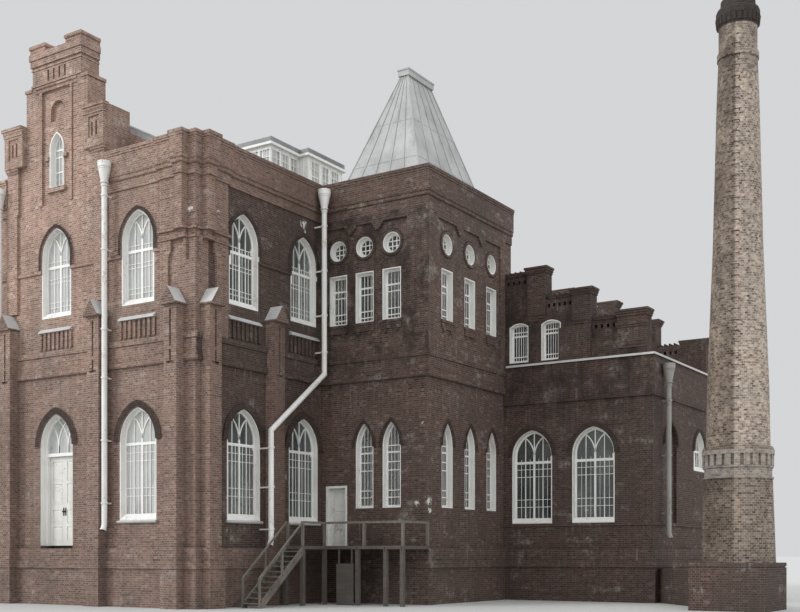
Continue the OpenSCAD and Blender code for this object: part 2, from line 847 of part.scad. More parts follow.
module hinge_eye() {
    difference() {
        union() {
            translate([0, 0, eye_z]) cylinder(r = eye_r, h = eye_h, $fn = 24);
            translate([leaf_gap / 2 + 2, -hinge_out, eye_z]) cube([hinge_strap, 10, eye_h]);
            translate([leaf_gap / 2 + 2, -hinge_out, eye_z]) cube([14, hinge_out, eye_h]);
        }
        translate([0, 0, eye_z - 1]) cylinder(r = pin_r + pin_fit, h = eye_h + 2, $fn = 24);
    }
}

// A leaf hung on its own axis, running towards +X, with its inner face hinge_out behind the axis.
// Its outer face has sunk panels, given as [bottom, top] shares of the height.
stile_w = 110;
panel_sunk = 14;
module hung_leaf(w, h, heights, panels) {
    difference() {
        translate([leaf_gap / 2, -hinge_out - leaf_t, leaf_gap]) cube([w, leaf_t, h - 2 * leaf_gap]);
        for (p = panels) translate([leaf_gap / 2 + stile_w, -hinge_out - leaf_t - 1, h * p[0]])
            cube([w - 2 * stile_w, panel_sunk + 1, h * (p[1] - p[0])]);
    }
    for (z = heights) translate([0, 0, z]) hinge_eye();
}

front_panels = [[0.05, 0.22], [0.25, 0.41], [0.47, 0.70], [0.73, 0.95]];
hinge_x = door_w / 2 - jamb_t - leaf_gap / 2;
hinge_y = jamb_y + jamb_d + hinge_out;
module front_door_frame() place() color(white_paint) {
    along_x(jamb_y, jamb_d) difference() {
        pointed(door_opening);
        area(front_axis - door_w / 2 + jamb_t, floor_z - 1,
             front_axis + door_w / 2 - jamb_t, floor_z + leaf_h);
        fanlight();
    }
    for (side = [0, 1]) translate([front_axis, hinge_y, floor_z]) mirror([side, 0, 0])
        for (z = hinge_heights) translate([-hinge_x, 0, z]) hinge_pin();
}

module front_door_left_leaf() place() color(white_paint)
    translate([front_axis - hinge_x, hinge_y, floor_z])
        hung_leaf(leaf_w, leaf_h, hinge_heights, front_panels);

module front_door_right_leaf() place() color(white_paint)
    translate([front_axis + hinge_x, hinge_y, floor_z]) mirror([1, 0, 0])
        hung_leaf(leaf_w, leaf_h, hinge_heights, front_panels);

// Tower

tower_bays = [774, 1990, 3210];
tower_east_bays = [8500, 10230, 11980];
lancet_w = 800;
rect_w = 820;
rect_z = [10550, 12470];
round_d = 780;
round_z = 13410;
function lancet(c) = opening(c, lancet_w, 3570, 6770, 900);
tower_door_x = 685;
tower_door_w = 1000;
tower_door_h = 2300;

module rect_window(c, grow = 0) {
    area(c - rect_w / 2 - grow, rect_z[0] - grow, c + rect_w / 2 + grow, rect_z[1] + grow);
}

module round_window(c, grow = 0) {
    translate([c, round_z]) circle(d = round_d + 2 * grow, $fn = 32);
}

module tower_openings(bays) {
    for (c = bays) {
        rect_window(c);
        round_window(c);
    }
}

module tower_plinth_mass() {
    for (c = plinth_courses) translate([0, 0, c[0]]) linear_extrude(c[1] - c[0]) tower_plan(c[2]);
}

module tower_plinth() place() color(brick) difference() {
    tower_plinth_mass();
    block(-1, tower_y + wall_t, -1, tower_w - wall_t, wing_y + 1, plinth_z + 1);
}

// Relief of one tower face, drawn as a south front that runs from x0 to x1: corner strips,
// a head over sunk panels with stepped drops between the bays, rings, aprons and lancet hoods
tower_strip_out = 80;
tower_strip_w = 820;
tower_head_z = 14250;
drop_h = 100;
drop_w = 170;
ring_w = 90;
ring_out = 35;
apron_out = 60;
lancet_hood_w = 140;
module tower_relief(x0, x1, bays, lancets, strips) {
    along_x(-tower_strip_out, tower_strip_out) {
        area(x0, tower_head_z, x1, wall_z);
        for (s = strips) area(s[0], string_z, s[1], tower_head_z + 1);
        for (i = [0 : len(bays) - 2]) for (step = [1 : 3])
            translate([(bays[i] + bays[i + 1]) / 2, tower_head_z - step * drop_h])
                area(-(4 - step) * drop_w / 2, 0, (4 - step) * drop_w / 2, drop_h + 1);
    }
    along_x(-ring_out, ring_out) for (c = bays) difference() {
        round_window(c, ring_w);
        round_window(c);
    }
    for (c = bays) {
        block(c - rect_w / 2 - 80, -apron_out - 30, rect_z[0] - 90, c + rect_w / 2 + 80, 0, rect_z[0]);
        block(c - rect_w / 2 - 40, -apron_out, rect_z[0] - 330, c + rect_w / 2 + 40, 0, rect_z[0] - 90);
        for (side = [-1, 1]) translate([c + side * rect_w / 3, -apron_out, rect_z[0] - 450])
            translate([-70, 0, 0]) cube([140, apron_out, 121]);
    }
    for (c = lancets) hood_mould(lancet(c), lancet_hood_w, spring_z(lancet(c)));
}

module tower_south_relief() {
    translate([0, tower_y, 0]) tower_relief(0, tower_w + tower_strip_out, tower_bays,
        [tower_bays[1], tower_bays[2]], [[tower_w - tower_strip_w, tower_w + tower_strip_out]]);
}

module tower_east_relief() {
    on_east(tower_w) tower_relief(tower_y, wing_y, tower_east_bays, tower_east_bays,
        [[tower_y, tower_y + 700], [wing_y - 420, wing_y]]);
}

module tower_strings() {
    for (c = string_courses) translate([0, 0, c[0]]) linear_extrude(c[1] - c[0]) difference() {
        tower_plan(c[2]);
        tower_plan(0);
    }
}

module tower_south_wall_west() place() color(brick)
    block(0, tower_y, plinth_z, tower_door_x - tower_door_w / 2, tower_y + wall_t, floor_z + tower_door_h);

module tower_south_wall_east() place() color(brick) along_x(tower_y, wall_t) difference() {
    area(tower_door_x + tower_door_w / 2, plinth_z, tower_w, floor_z + tower_door_h);
    for (c = [tower_bays[1], tower_bays[2]]) pointed(lancet(c));
}

module tower_south_wall_over_door() place() color(brick) {
    along_x(tower_y, wall_t) difference() {
        area(0, floor_z + tower_door_h, tower_w, wall_z);
        for (c = [tower_bays[1], tower_bays[2]]) pointed(lancet(c));
        tower_openings(tower_bays);
    }
    tower_south_relief();
    intersection() {
        tower_strings();
        block(0, tower_y - plinth_out, 0, tower_w + plinth_out, tower_y, wall_z);
    }
}

module tower_east_wall() place() color(brick) {
    along_y(tower_w, wall_t) difference() {
        area(tower_y + wall_t, plinth_z, wing_y, wall_z);
        for (y = tower_east_bays) pointed(lancet(y));
        tower_openings(tower_east_bays);
    }
    tower_east_relief();
    intersection() {
        tower_strings();
        block(tower_w, tower_y, 0, tower_w + plinth_out, wing_y, wall_z);
    }
}

module tower_north_wall() place() color(brick)
    block(0, wing_y, floor_z, tower_w, wing_y + wall_t, wall_z);

tower_parapet_t = 400;
module tower_parapet() place() color(brick) difference() {
    tower_mass();
    block(-1, tower_y + tower_parapet_t, wall_z - 1, tower_w - tower_parapet_t, wing_y + 200, parapet_z + 1);
}

module tower_floors() place() color(timber) {
    block(0, tower_y + wall_t, floor_z - slab_t, tower_w - wall_t, wing_y, floor_z);
    block(0, tower_y + wall_t, upper_floor_z - slab_t, tower_w - wall_t, wing_y, upper_floor_z);
}

// Flat roof of the tower with a tall tapering hood, which ends in a long narrow cap
tower_roof_z = [14700, 15000];
hood_foot_z = 15350;
hood_top_z = 20690;
hood_cap_h = 270;
hood_foot = [64, 7738, 4090, 13120];
hood_top = [2000, 9560, 2340, 11300];
hood_lip = 80;
module tower_hood() place() color(sheet_metal) {
    block(0, tower_y + tower_parapet_t, tower_roof_z[0],
          tower_w - tower_parapet_t, wing_y + 200, tower_roof_z[1]);
    block(hood_foot[0], hood_foot[1], tower_roof_z[1], hood_foot[2], hood_foot[3], hood_foot_z);
    hull() {
        block(hood_foot[0], hood_foot[1], hood_foot_z, hood_foot[2], hood_foot[3], hood_foot_z + 10);
        block(hood_top[0], hood_top[1], hood_top_z - 10, hood_top[2], hood_top[3], hood_top_z);
    }
    block(hood_top[0] - hood_lip, hood_top[1] - hood_lip, hood_top_z,
          hood_top[2] + hood_lip, hood_top[3] + hood_lip, hood_top_z + hood_cap_h - 60);
    block(hood_top[0] - hood_lip - 25, hood_top[1] - hood_lip - 25, hood_top_z + hood_cap_h - 60,
          hood_top[2] + hood_lip + 25, hood_top[3] + hood_lip + 25, hood_top_z + hood_cap_h);
}

// Casings and sashes of the rectangular and round windows
module small_frames(c) {
    difference() {
        rect_window(c);
        rect_window(c, -casing_t);
    }
    difference() {
        round_window(c);
        round_window(c, -casing_t);
    }
}

module small_sashes(c) {
    difference() {
        rect_window(c, -casing_t);
        rect_window(c, -casing_t - sash_t);
    }
    difference() {
        round_window(c, -casing_t);
        round_window(c, -casing_t - sash_t);
    }
}

module tower_window_frames() place() color(white_paint) {
    for (c = [tower_bays[1], tower_bays[2]]) frame_x(tower_y, lancet(c));
    for (c = tower_east_bays) frame_y(tower_w, lancet(c));
    for (c = tower_bays) {
        along_x(tower_y, casing_d) small_frames(c);
        along_x(tower_y + sash_back, sash_d) small_sashes(c);
    }
    for (c = tower_east_bays) {
        along_y(tower_w, casing_d) small_frames(c);
        along_y(tower_w - sash_back, sash_d) small_sashes(c);
    }
}

module tower_window_glass() place() color(glass_tint) {
    inset = -casing_t - sash_t;
    for (c = [tower_bays[1], tower_bays[2]]) glass_x(tower_y, lancet(c));
    for (c = tower_east_bays) glass_y(tower_w, lancet(c));
    for (c = tower_bays) along_x(tower_y + glass_back, glass_t) {
        rect_window(c, inset);
        round_window(c, inset);
    }
    for (c = tower_east_bays) along_y(tower_w - glass_back, glass_t) {
        rect_window(c, inset);
        round_window(c, inset);
    }
}

tower_jamb_d = 250;
tower_hinge_x = tower_door_x - tower_door_w / 2 + jamb_t + leaf_gap / 2;
tower_hinge_y = tower_y + tower_jamb_d + hinge_out;
tower_hinge_heights = [250, 1850];
tower_panels = [[0.06, 0.30], [0.36, 0.62], [0.68, 0.94]];
module tower_door_frame() place() color(white_paint) {
    along_x(tower_y, tower_jamb_d) difference() {
        area(tower_door_x - tower_door_w / 2, floor_z,
             tower_door_x + tower_door_w / 2, floor_z + tower_door_h);
        area(tower_door_x - tower_door_w / 2 + jamb_t, floor_z - 1,
             tower_door_x + tower_door_w / 2 - jamb_t, floor_z + tower_door_h - jamb_t);
    }
    for (z = tower_hinge_heights) translate([tower_hinge_x, tower_hinge_y, floor_z + z]) hinge_pin();
}

module tower_door() place() color(white_paint) translate([tower_hinge_x, tower_hinge_y, floor_z])
    hung_leaf(tower_door_w - 2 * jamb_t - 3 * leaf_gap / 2, tower_door_h - jamb_t, tower_hinge_heights,
              tower_panels);

// Wing

// Places along the wing's front are shares of its run beyond the tower
wing_run = wing_w - tower_w;
function wing_at(share) = tower_w + share * wing_run;
wing_bays = [wing_at(0.202), wing_at(0.618)];
rear_bays = [tower_w / 2, wing_bays[0], wing_bays[1]];
function wing_opening(c) = opening(c, ground_w, 3070, 6820, 1050, 290);
wing_east_opening = opening(18500, 1400, 5300, 6950, 850, 0);
wing_blind = opening(15000, 1400, 3070, 6950, 850);
gable_lights = [wing_at(0.1), wing_at(0.325)];
function gable_light(c) = opening(c, 850, 9600, 11200, 150);
gable_back = 120;
// Ends of the gable's steps, from the tower outwards
step_ends = [wing_at(0.166), wing_at(0.474), wing_at(0.774)];
step_top_z = 13100;
pier_w = 800;
corner_pier_w = 1150;

module wing_plinth() place() color(brick) difference() {
    for (c = plinth_courses) translate([0, 0, c[0]]) linear_extrude(c[1] - c[0]) wing_plan(c[2]);
    block(tower_w - 1, wing_y + wall_t, -1, wing_w - wall_t, main_d - wall_t, plinth_z + 1);
    tower_plinth_mass();
}

// Band under the eaves and a thin course at the sills
wing_courses = [[2950, 3070, 60], [eaves_z - 1570, eaves_z - 1500, 90], [eaves_z - 1500, eaves_z, 50]];
wing_hood_w = 200;
module wing_strings() {
    difference() {
        for (c = wing_courses) translate([0, 0, c[0]]) linear_extrude(c[1] - c[0]) difference() {
            wing_plan(c[2]);
            wing_plan(0);
            area(-1, main_d - wall_t, tower_w + 2, main_d);
        }
        tower_east_relief();
        tower_strings();
    }
}

// Outline of the stepped gable above the eaves, in X and Z
module stepped(x0) {
    for (i = [-2 : 2]) {
        end = i < 0 ? step_ends[0] + i * (step_ends[1] - step_ends[0]) : step_ends[i];
        if (end > x0) area(x0, eaves_z, end + (i == 2 ? corner_pier_w : pier_w), step_top_z - i * gable_step);
    }
}

// Rows of small holes through the gable under each step
hole_w = 110;
hole_h = 150;
hole_pitch = 250;
hole_drop = 330;
hole_counts = [4, 5, 4];
module step_holes() {
    for (i = [0 : 2]) {
        start = i == 0 ? tower_w : step_ends[i - 1] + pier_w;
        middle = (start + step_ends[i]) / 2;
        pitch = min(hole_pitch, (step_ends[i] - start) / hole_counts[i]);
        for (k = [0 : hole_counts[i] - 1])
            translate([middle + (k - (hole_counts[i] - 1) / 2) * pitch, 0])
                area(-hole_w / 2, step_top_z - i * gable_step - hole_drop,
                     hole_w / 2, step_top_z - i * gable_step - hole_drop + hole_h);
    }
}

module wing_south_gable() place() color(brick) {
    along_x(wing_y, wall_t) difference() {
        area(tower_w, plinth_z, wing_w, eaves_z);
        for (x = wing_bays) pointed(wing_opening(x));
    }
    along_x(wing_y + gable_back, wall_t - gable_back) difference() {
        stepped(tower_w);
        for (x = gable_lights) pointed(gable_light(x));
        step_holes();
    }
    intersection() {
        wing_strings();
        block(tower_w, wing_y - plinth_out, 0, wing_w + plinth_out, wing_y, eaves_z);
    }
    for (x = wing_bays) translate([0, wing_y, 0]) hood_mould(wing_opening(x), wing_hood_w, spring_z(wing_opening(x)));
}

module wing_north_gable() place() color(brick) {
    along_x(main_d - wall_t, wall_t) difference() {
        union() {
            area(0, plinth_z, wing_w, eaves_z);
            stepped(0);
        }
        for (x = rear_bays) pointed(wing_opening(x));
        step_holes();
    }
    intersection() {
        wing_strings();
        block(0, main_d, 0, wing_w + plinth_out, main_d + plinth_out, eaves_z);
    }
    on_north() for (x = rear_bays) hood_mould(wing_opening(x), wing_hood_w, spring_z(wing_opening(x)));
}

module wing_east_wall() place() color(brick) {
    difference() {
        along_y(wing_w, wall_t) difference() {
            area(wing_y + wall_t, plinth_z, main_d - wall_t, eaves_z);
            pointed(wing_east_opening);
        }
        along_y(wing_w + 1, 121) pointed(wing_blind);
    }
    intersection() {
        wing_strings();
        block(wing_w, wing_y, 0, wing_w + plinth_out, main_d, eaves_z);
    }
    on_east(wing_w) for (o = [wing_east_opening, wing_blind]) hood_mould(o, lancet_hood_w, spring_z(o));
}

// A pier of the stepped gable: a shaft on corbels whose head flares out course by course
gable_pier_out = 90;
pier_drops = [1900, 1230, 1200];
flare = [[0, 90, 40], [90, 180, 75], [180, 260, 110]];
lower_flare = [[0, 90, 35], [90, 180, 70]];
lower_flare_drop = 420;
module flared(x, w, z, back, courses) {
    for (c = courses) block(x - c[2], -gable_pier_out - c[2], z + c[0], x + w + c[2], back, z + c[1]);
}

corbel_h = 110;
module gable_pier(x, w, z, drop) {
    for (i = [0, 1])
        block(x, -(i + 1) * gable_pier_out / 3, z - drop + i * corbel_h,
              x + w, 0, z - drop + (i + 1) * corbel_h);
    block(x, -gable_pier_out, z - drop + 2 * corbel_h, x + w, 0, z);
    flared(x, w, z, wall_t - gable_back, flare);
}

// Coping of each step, and a mass that stands under the second pier in front of the gable
coping_h = 60;
coping_gap = 110;
coping_out = 50;
front_mass_z = 10800;
module gable_top(out) {
    for (i = [0, 1]) gable_pier(step_ends[i], pier_w, step_top_z - i * gable_step, pier_drops[i]);
    gable_pier(step_ends[2], corner_pier_w, step_top_z - 2 * gable_step, pier_drops[2]);
    flared(step_ends[2], corner_pier_w, step_top_z - 2 * gable_step - lower_flare_drop, 0, lower_flare);
    for (i = [0 : 2]) {
        start = i == 0 ? tower_w : step_ends[i - 1] + pier_w + coping_gap;
        block(start, -out, step_top_z - i * gable_step, step_ends[i] - coping_gap, wall_t - gable_back,
              step_top_z - i * gable_step + coping_h);
    }
}

module wing_gable_piers() place() color(brick) {
    translate([0, wing_y + gable_back, 0]) {
        gable_top(coping_out);
        block(wing_at(0.385), -gable_back, eaves_z, step_ends[1] + pier_w, 0, front_mass_z);
    }
    translate([0, main_d, 0]) mirror([0, 1, 0]) gable_top(coping_out);
}

module wing_roof() place() color(sheet_metal) {
    inner = wing_w - wall_t;
    high = eaves_z + inner * gable_step / (step_ends[1] - step_ends[0]);
    translate([0, main_d - wall_t, 0]) rotate([90, 0, 0])
        linear_extrude(main_d - 2 * wall_t - wing_y)
            polygon([[0, high], [inner, eaves_z], [wing_w + flashing_out, eaves_z],
                     [wing_w + flashing_out, eaves_z + roof_t / 4], [wing_w, eaves_z + roof_t / 2],
                     [inner, eaves_z + roof_t], [0, high + roof_t]]);
    flashing();
}

// Sheet flashing on the ledge in front of the gable, and round its corner
flashing_t = 35;
flashing_out = 110;
module flashing() {
    difference() {
        block(tower_w, wing_y - flashing_out, eaves_z, wing_w + flashing_out, wing_y + gable_back,
              eaves_z + flashing_t);
        tower_east_relief();
        block(wing_at(0.385), wing_y, eaves_z - 1, step_ends[1] + pier_w, wing_y + gable_back + 1,
              eaves_z + flashing_t + 1);
    }
    block(wing_w, wing_y + gable_back, eaves_z, wing_w + flashing_out, wing_y + wall_t, eaves_z + flashing_t);
}

module wing_floor() place() color(timber)
    block(0, wing_y + wall_t, floor_z - slab_t, wing_w - wall_t, main_d - wall_t, floor_z);

module wing_window_frames() place() color(white_paint) {
    for (x = wing_bays) frame_x(wing_y, wing_opening(x));
    for (x = gable_lights) frame_x(wing_y + gable_back, gable_light(x));
    frame_y(wing_w, wing_east_opening);
    on_north() for (x = rear_bays) frame_x(0, wing_opening(x));
}

module wing_window_glass() place() color(glass_tint) {
    for (x = wing_bays) glass_x(wing_y, wing_opening(x));
    for (x = gable_lights) glass_x(wing_y + gable_back, gable_light(x));
    glass_y(wing_w, wing_east_opening);
    on_north() for (x = rear_bays) glass_x(0, wing_opening(x));
}

// Chimney

chimney_plinth_z = 1560;
chimney_base_z = 4280;
chimney_cornice_z = 5330;
base_d = [2390, 2190];
cornice_d = 2300;
flue_d = [1100, 650];
band_z = [chimney_h - 1940, chimney_h - 1740];
band_out = 40;
neck_in = 10;
crown_z = chimney_h - 900;
bracket_count = 24;
bracket_z = [4700, 5070];
bracket_run = 185;
chimney_fn = 48;
module at_chimney(z = 0) {
    translate([chimney_x, chimney_y, z]) children();
}

module chimney_plinth() place() color(brick) at_chimney() {
    half = chimney_foot / 2;
    groove = half - 30;
    block(-half, -half, 0, half, half, chimney_plinth_z - 160);
    block(-groove, -groove, chimney_plinth_z - 160, groove, groove, chimney_plinth_z - 120);
    block(-half, -half, chimney_plinth_z - 120, half, half, chimney_plinth_z);
}

module chimney_base() place() color(pale_brick) difference() {
    at_chimney() {
        rotate_extrude($fn = chimney_fn) polygon([
            [0, chimney_plinth_z], [base_d[0] / 2, chimney_plinth_z], [base_d[1] / 2, chimney_base_z],
            [base_d[1] / 2 + 30, chimney_base_z], [base_d[1] / 2 + 30, chimney_base_z + 60],
            [base_d[1] / 2 - 20, chimney_base_z + 60], [base_d[1] / 2 - 20, chimney_base_z + 360],
            [base_d[1] / 2 + 20, chimney_base_z + 360], [base_d[1] / 2 + 20, bracket_z[0]],
            [base_d[1] / 2 - 45, bracket_z[0]], [base_d[1] / 2 - 45, bracket_z[1]],
            [cornice_d / 2, bracket_z[1]], [cornice_d / 2, chimney_cornice_z - 120],
            [cornice_d / 2 - 50, chimney_cornice_z], [0, chimney_cornice_z]]);
        for (i = [0 : bracket_count - 1]) rotate([0, 0, i * 360 / bracket_count])
            translate([base_d[1] / 2 - 80, -bracket_run / 2, bracket_z[0] - 1])
                cube([115, bracket_run, bracket_z[1] - bracket_z[0] + 2]);
    }
    at_chimney(chimney_plinth_z - 1) cylinder(d = flue_d[0], h = chimney_cornice_z, $fn = chimney_fn);
}

module chimney_shaft() place() color(pale_brick) difference() {
    span = band_z[0] - chimney_cornice_z;
    fall = (chimney_w - chimney_top_w) / 2;
    neck = chimney_top_w / 2;
    at_chimney() rotate_extrude($fn = chimney_fn) polygon([
        [0, chimney_cornice_z], [chimney_w / 2, chimney_cornice_z],
        [chimney_w / 2 - fall * 0.11, chimney_cornice_z + span * 0.162],
        [chimney_w / 2 - fall * 0.56, chimney_cornice_z + span * 0.515],
        [chimney_w / 2 - fall * 0.875, chimney_cornice_z + span * 0.9],
        [neck, band_z[0]], [neck + band_out, band_z[0]], [neck + band_out, band_z[1]],
        [neck - neck_in, band_z[1]], [neck - neck_in, crown_z], [0, crown_z]]);
    at_chimney(chimney_cornice_z - 1)
        cylinder(d1 = flue_d[0], d2 = flue_d[1], h = crown_z - chimney_cornice_z + 2, $fn = chimney_fn);
}

// Dark crown: it swells to a ring and steps back to a narrower top
module chimney_crown() place() color(brick) difference() {
    r = chimney_top_w / 2;
    at_chimney(crown_z) rotate_extrude($fn = chimney_fn) polygon([
        [0, 0], [r - neck_in, 0], [r + 30, 60], [r + 75, 340], [r + 75, 500], [r + 40, 590],
        [r - 65, 640], [r - 75, chimney_h - crown_z], [0, chimney_h - crown_z]]);
    at_chimney(crown_z - 1) cylinder(d = flue_d[1], h = chimney_h - crown_z + 2, $fn = chimney_fn);
}

duct_h = 1300;
module flue_duct() place() color(brick) linear_extrude(duct_h) polygon([
    [wing_w + plinth_out, 13300], [chimney_x - chimney_foot / 2, 9900],
    [chimney_x - chimney_foot / 2, chimney_y + chimney_foot / 2],
    [chimney_x - 600, chimney_y + chimney_foot / 2], [wing_w + plinth_out, 14700]]);

// Downpipes

pipe_d = 200;
pipe_fn = 16;
collar_d = 250;
collar_h = 60;
hopper_d = 480;
hopper_h = 700;
bracket_w = 50;

// A pipe along a path with mitred bends: each ring of points slides along its run to the next mitre plane
function unit(v) = v / norm(v);
function slid(ring, p, run, plane) = [for (q = ring) q + ((p - q) * plane / (run * plane)) * run];
function rings(path, ring, i) =
    i == len(path) ? [] :
    let (run = unit(path[i] - path[i - 1]),
         plane = i == len(path) - 1 ? run : unit(run + unit(path[i + 1] - path[i])),
         next = slid(ring, path[i], run, plane))
    concat([next], rings(path, next, i + 1));

module pipe(path) {
    first = [for (k = [0 : pipe_fn - 1])
        path[0] + pipe_d / 2 * [cos(k * 360 / pipe_fn), -sin(k * 360 / pipe_fn), 0]];
    all = concat([first], rings(path, first, 1));
    sides = [for (i = [0 : len(path) - 2]) for (k = [0 : pipe_fn - 1])
        [i * pipe_fn + k, (i + 1) * pipe_fn + k,
         (i + 1) * pipe_fn + (k + 1) % pipe_fn, i * pipe_fn + (k + 1) % pipe_fn]];
    polyhedron([for (r = all) for (q = r) q],
        concat([[for (k = [0 : pipe_fn - 1]) k]], sides,
               [[for (k = [pipe_fn - 1 : -1 : 0]) (len(path) - 1) * pipe_fn + k]]));
}

// A pipe's head: a funnel, a moulded rim and a collar below
module hopper() {
    cylinder(d1 = collar_d, d2 = hopper_d - 60, h = 400, $fn = pipe_fn);
    translate([0, 0, 400]) cylinder(d = hopper_d - 60, h = 100, $fn = pipe_fn);
    translate([0, 0, 500]) cylinder(d = hopper_d, h = hopper_h - 500, $fn = pipe_fn);
    translate([0, 0, -150]) cylinder(d = collar_d, h = collar_h, $fn = pipe_fn);
}

// A straight pipe on the south front at x, out from the wall, with its foot turned outwards;
// the back of its hopper is flat against the course that stands out by relief
module front_pipe(x, out, z0, z1, relief, brackets) {
    translate([x, -out, 0]) {
        pipe([[0, 0, z1 + 1], [0, 0, z0], [0, -60, z0 - 180]]);
        intersection() {
            translate([0, 0, z1]) hopper();
            block(-hopper_d, -hopper_d, z0, hopper_d, out - relief, z1 + hopper_h + 1);
        }
    }
    for (z = brackets) {
        block(x - bracket_w / 2, -out, z, x + bracket_w / 2, 0, z + bracket_w);
        translate([x, -out, z]) cylinder(d = collar_d, h = collar_h, $fn = pipe_fn);
    }
}

front_pipe_x = -4010;
front_pipe_out = 300;
front_brackets = [3600, 5800, 8000, 9700, 12500, 14400];
wing_pipe_y = 14000;
wing_pipe_out = 280;
wing_brackets = [3400, 5600, 7700];
// The inner corner's pipe drops from its hopper, slants across the side front, and drops again
corner_pipe = [
    [450, 6600, 15001], [450, 6600, 8680], [600, 3240, 6240], [600, 3240, 2350], [600, 3180, 2170]];
module corner_pipe_run() {
    pipe(corner_pipe);
    translate(corner_pipe[0] - [0, 0, 1]) hopper();
    for (z = [14300, 12600, 10900, 9500]) {
        translate([450, 6600, z]) cylinder(d = collar_d, h = collar_h, $fn = pipe_fn);
        block(0, 6600 - bracket_w / 2, z, 450, 6600 + bracket_w / 2, z + bracket_w);
    }
    for (z = [2700, 4200, 5600]) {
        translate([600, 3240, z]) cylinder(d = collar_d, h = collar_h, $fn = pipe_fn);
        block(0, 3310, z, 600, 3410, z + bracket_w);
    }
}

module downpipes() place() color(sheet_metal) {
    for (x = [front_pipe_x, 2 * front_axis - front_pipe_x])
        front_pipe(x, front_pipe_out, 2870, 14900, parapet_courses[2][2], front_brackets);
    on_east(wing_w) front_pipe(wing_pipe_y, wing_pipe_out, 2640, 8450, wing_courses[2][2], wing_brackets);
    corner_pipe_run();
}

// Outside stair to the tower door
deck_z = 2140;
deck_t = 120;
deck_y = 5150;
deck_x = [260, 4950];
walk_x = 640;
walk_y = 4500;
stair_x = [760, 1560];
stair_top_y = 3850;
stair_foot_y = 1450;
post_s = 140;
rise_count = 12;
tread_t = 40;
stringer_t = 60;
module stair_landing() place() color(timber) {
    block(walk_x, stair_top_y, deck_z - deck_t, stair_x[1], walk_y, deck_z);
    block(deck_x[0], walk_y, deck_z - deck_t, stair_x[1], tower_y - plinth_out, deck_z);
    block(stair_x[1], deck_y, deck_z - deck_t, deck_x[1], tower_y - plinth_out, deck_z);
    for (p = [[1410, deck_y], [2900, deck_y], [4100, deck_y], [4800, deck_y], [1410, stair_top_y],
              [walk_x, stair_top_y]])
        translate([p[0], p[1], 0]) cube([post_s, post_s, deck_z - deck_t]);
    screen();
}

// Board screen that hangs on two battens under the deck
screen_x = [2050, 2800];
screen_top_z = 1500;
module screen() {
    block(screen_x[0], deck_y + 20, 0, screen_x[1], deck_y + 50, screen_top_z);
    for (x = [screen_x[0] + 60, screen_x[1] - 120])
        block(x, deck_y + 50, 0, x + 60, deck_y + 90, deck_z - deck_t);
}

module stair_flight() place() color(timber) {
    run = stair_top_y - stair_foot_y;
    going = run / (rise_count - 1);
    for (x = [stair_x[0], stair_x[1] - stringer_t])
        translate([x, 0, 0]) rotate([90, 0, 90]) linear_extrude(stringer_t)
            polygon([[stair_foot_y, 0], [stair_foot_y + 200, 0], [stair_top_y, deck_z - 320],
                     [stair_top_y, deck_z - 30], [stair_foot_y, 150]]);
    for (i = [1 : rise_count - 1])
        block(stair_x[0] + stringer_t, stair_foot_y + going * (i - 1), deck_z * i / rise_count - tread_t,
              stair_x[1] - stringer_t, stair_foot_y + going * i, deck_z * i / rise_count);
}

// Posts and handrails round the deck and up both sides of the flight
rail_h = 800;
rail_s = 90;
flight_rail_s = 54;
rail_t = 80;
module stair_rails() place() color(timber) {
    deck_rail_x = deck_x[1] - rail_s - 20;
    for (x = [stair_x[1] - rail_s - 30, 3200, deck_rail_x])
        block(x, deck_y + 20, deck_z, x + rail_s, deck_y + 20 + rail_s, deck_z + rail_h);
    block(stair_x[1] - rail_s - 30, deck_y + 20, deck_z + rail_h, deck_rail_x + rail_s, deck_y + 20 + rail_s,
          deck_z + rail_h + rail_t);
    block(deck_rail_x, deck_y + 20 + rail_s, deck_z + rail_h, deck_rail_x + rail_s, tower_y - plinth_out,
          deck_z + rail_h + rail_t);
    block(deck_rail_x, tower_y - plinth_out - rail_s, deck_z, deck_rail_x + rail_s, tower_y - plinth_out,
          deck_z + rail_h);
    block(stair_x[1] - rail_s - 30, stair_top_y + 20, deck_z + rail_h, stair_x[1] - 30, deck_y + 20,
          deck_z + rail_h + rail_t);
    for (x = [stair_x[0] + 10, stair_x[1] - rail_s - 30])
        block(x, stair_top_y + 20, deck_z, x + rail_s, stair_top_y + 20 + rail_s, deck_z + rail_h);
    for (x = [stair_x[0], stair_x[1] - stringer_t]) flight_rail(x + (stringer_t - flight_rail_s) / 2);
}

// A sloping rail over one stringer, with a post at its foot
module flight_rail(x) {
    foot_z = 150;
    translate([x, 0, 0]) rotate([90, 0, 90]) linear_extrude(flight_rail_s) {
        polygon([[stair_foot_y, foot_z + rail_h], [stair_top_y + 20, deck_z + rail_h],
                 [stair_top_y + 20, deck_z + rail_h + rail_t], [stair_foot_y, foot_z + rail_h + rail_t]]);
        for (y = [stair_foot_y, (stair_foot_y + stair_top_y) / 2]) {
            z = foot_z + (y - stair_foot_y) / (stair_top_y - stair_foot_y) * (deck_z - 30 - foot_z);
            slope = (deck_z - 30 - foot_z) / (stair_top_y - stair_foot_y);
            polygon([[y, z], [y + rail_s, z + rail_s * slope],
                     [y + rail_s, z + rail_h + 60], [y, z + rail_h + 10]]);
        }
    }
}

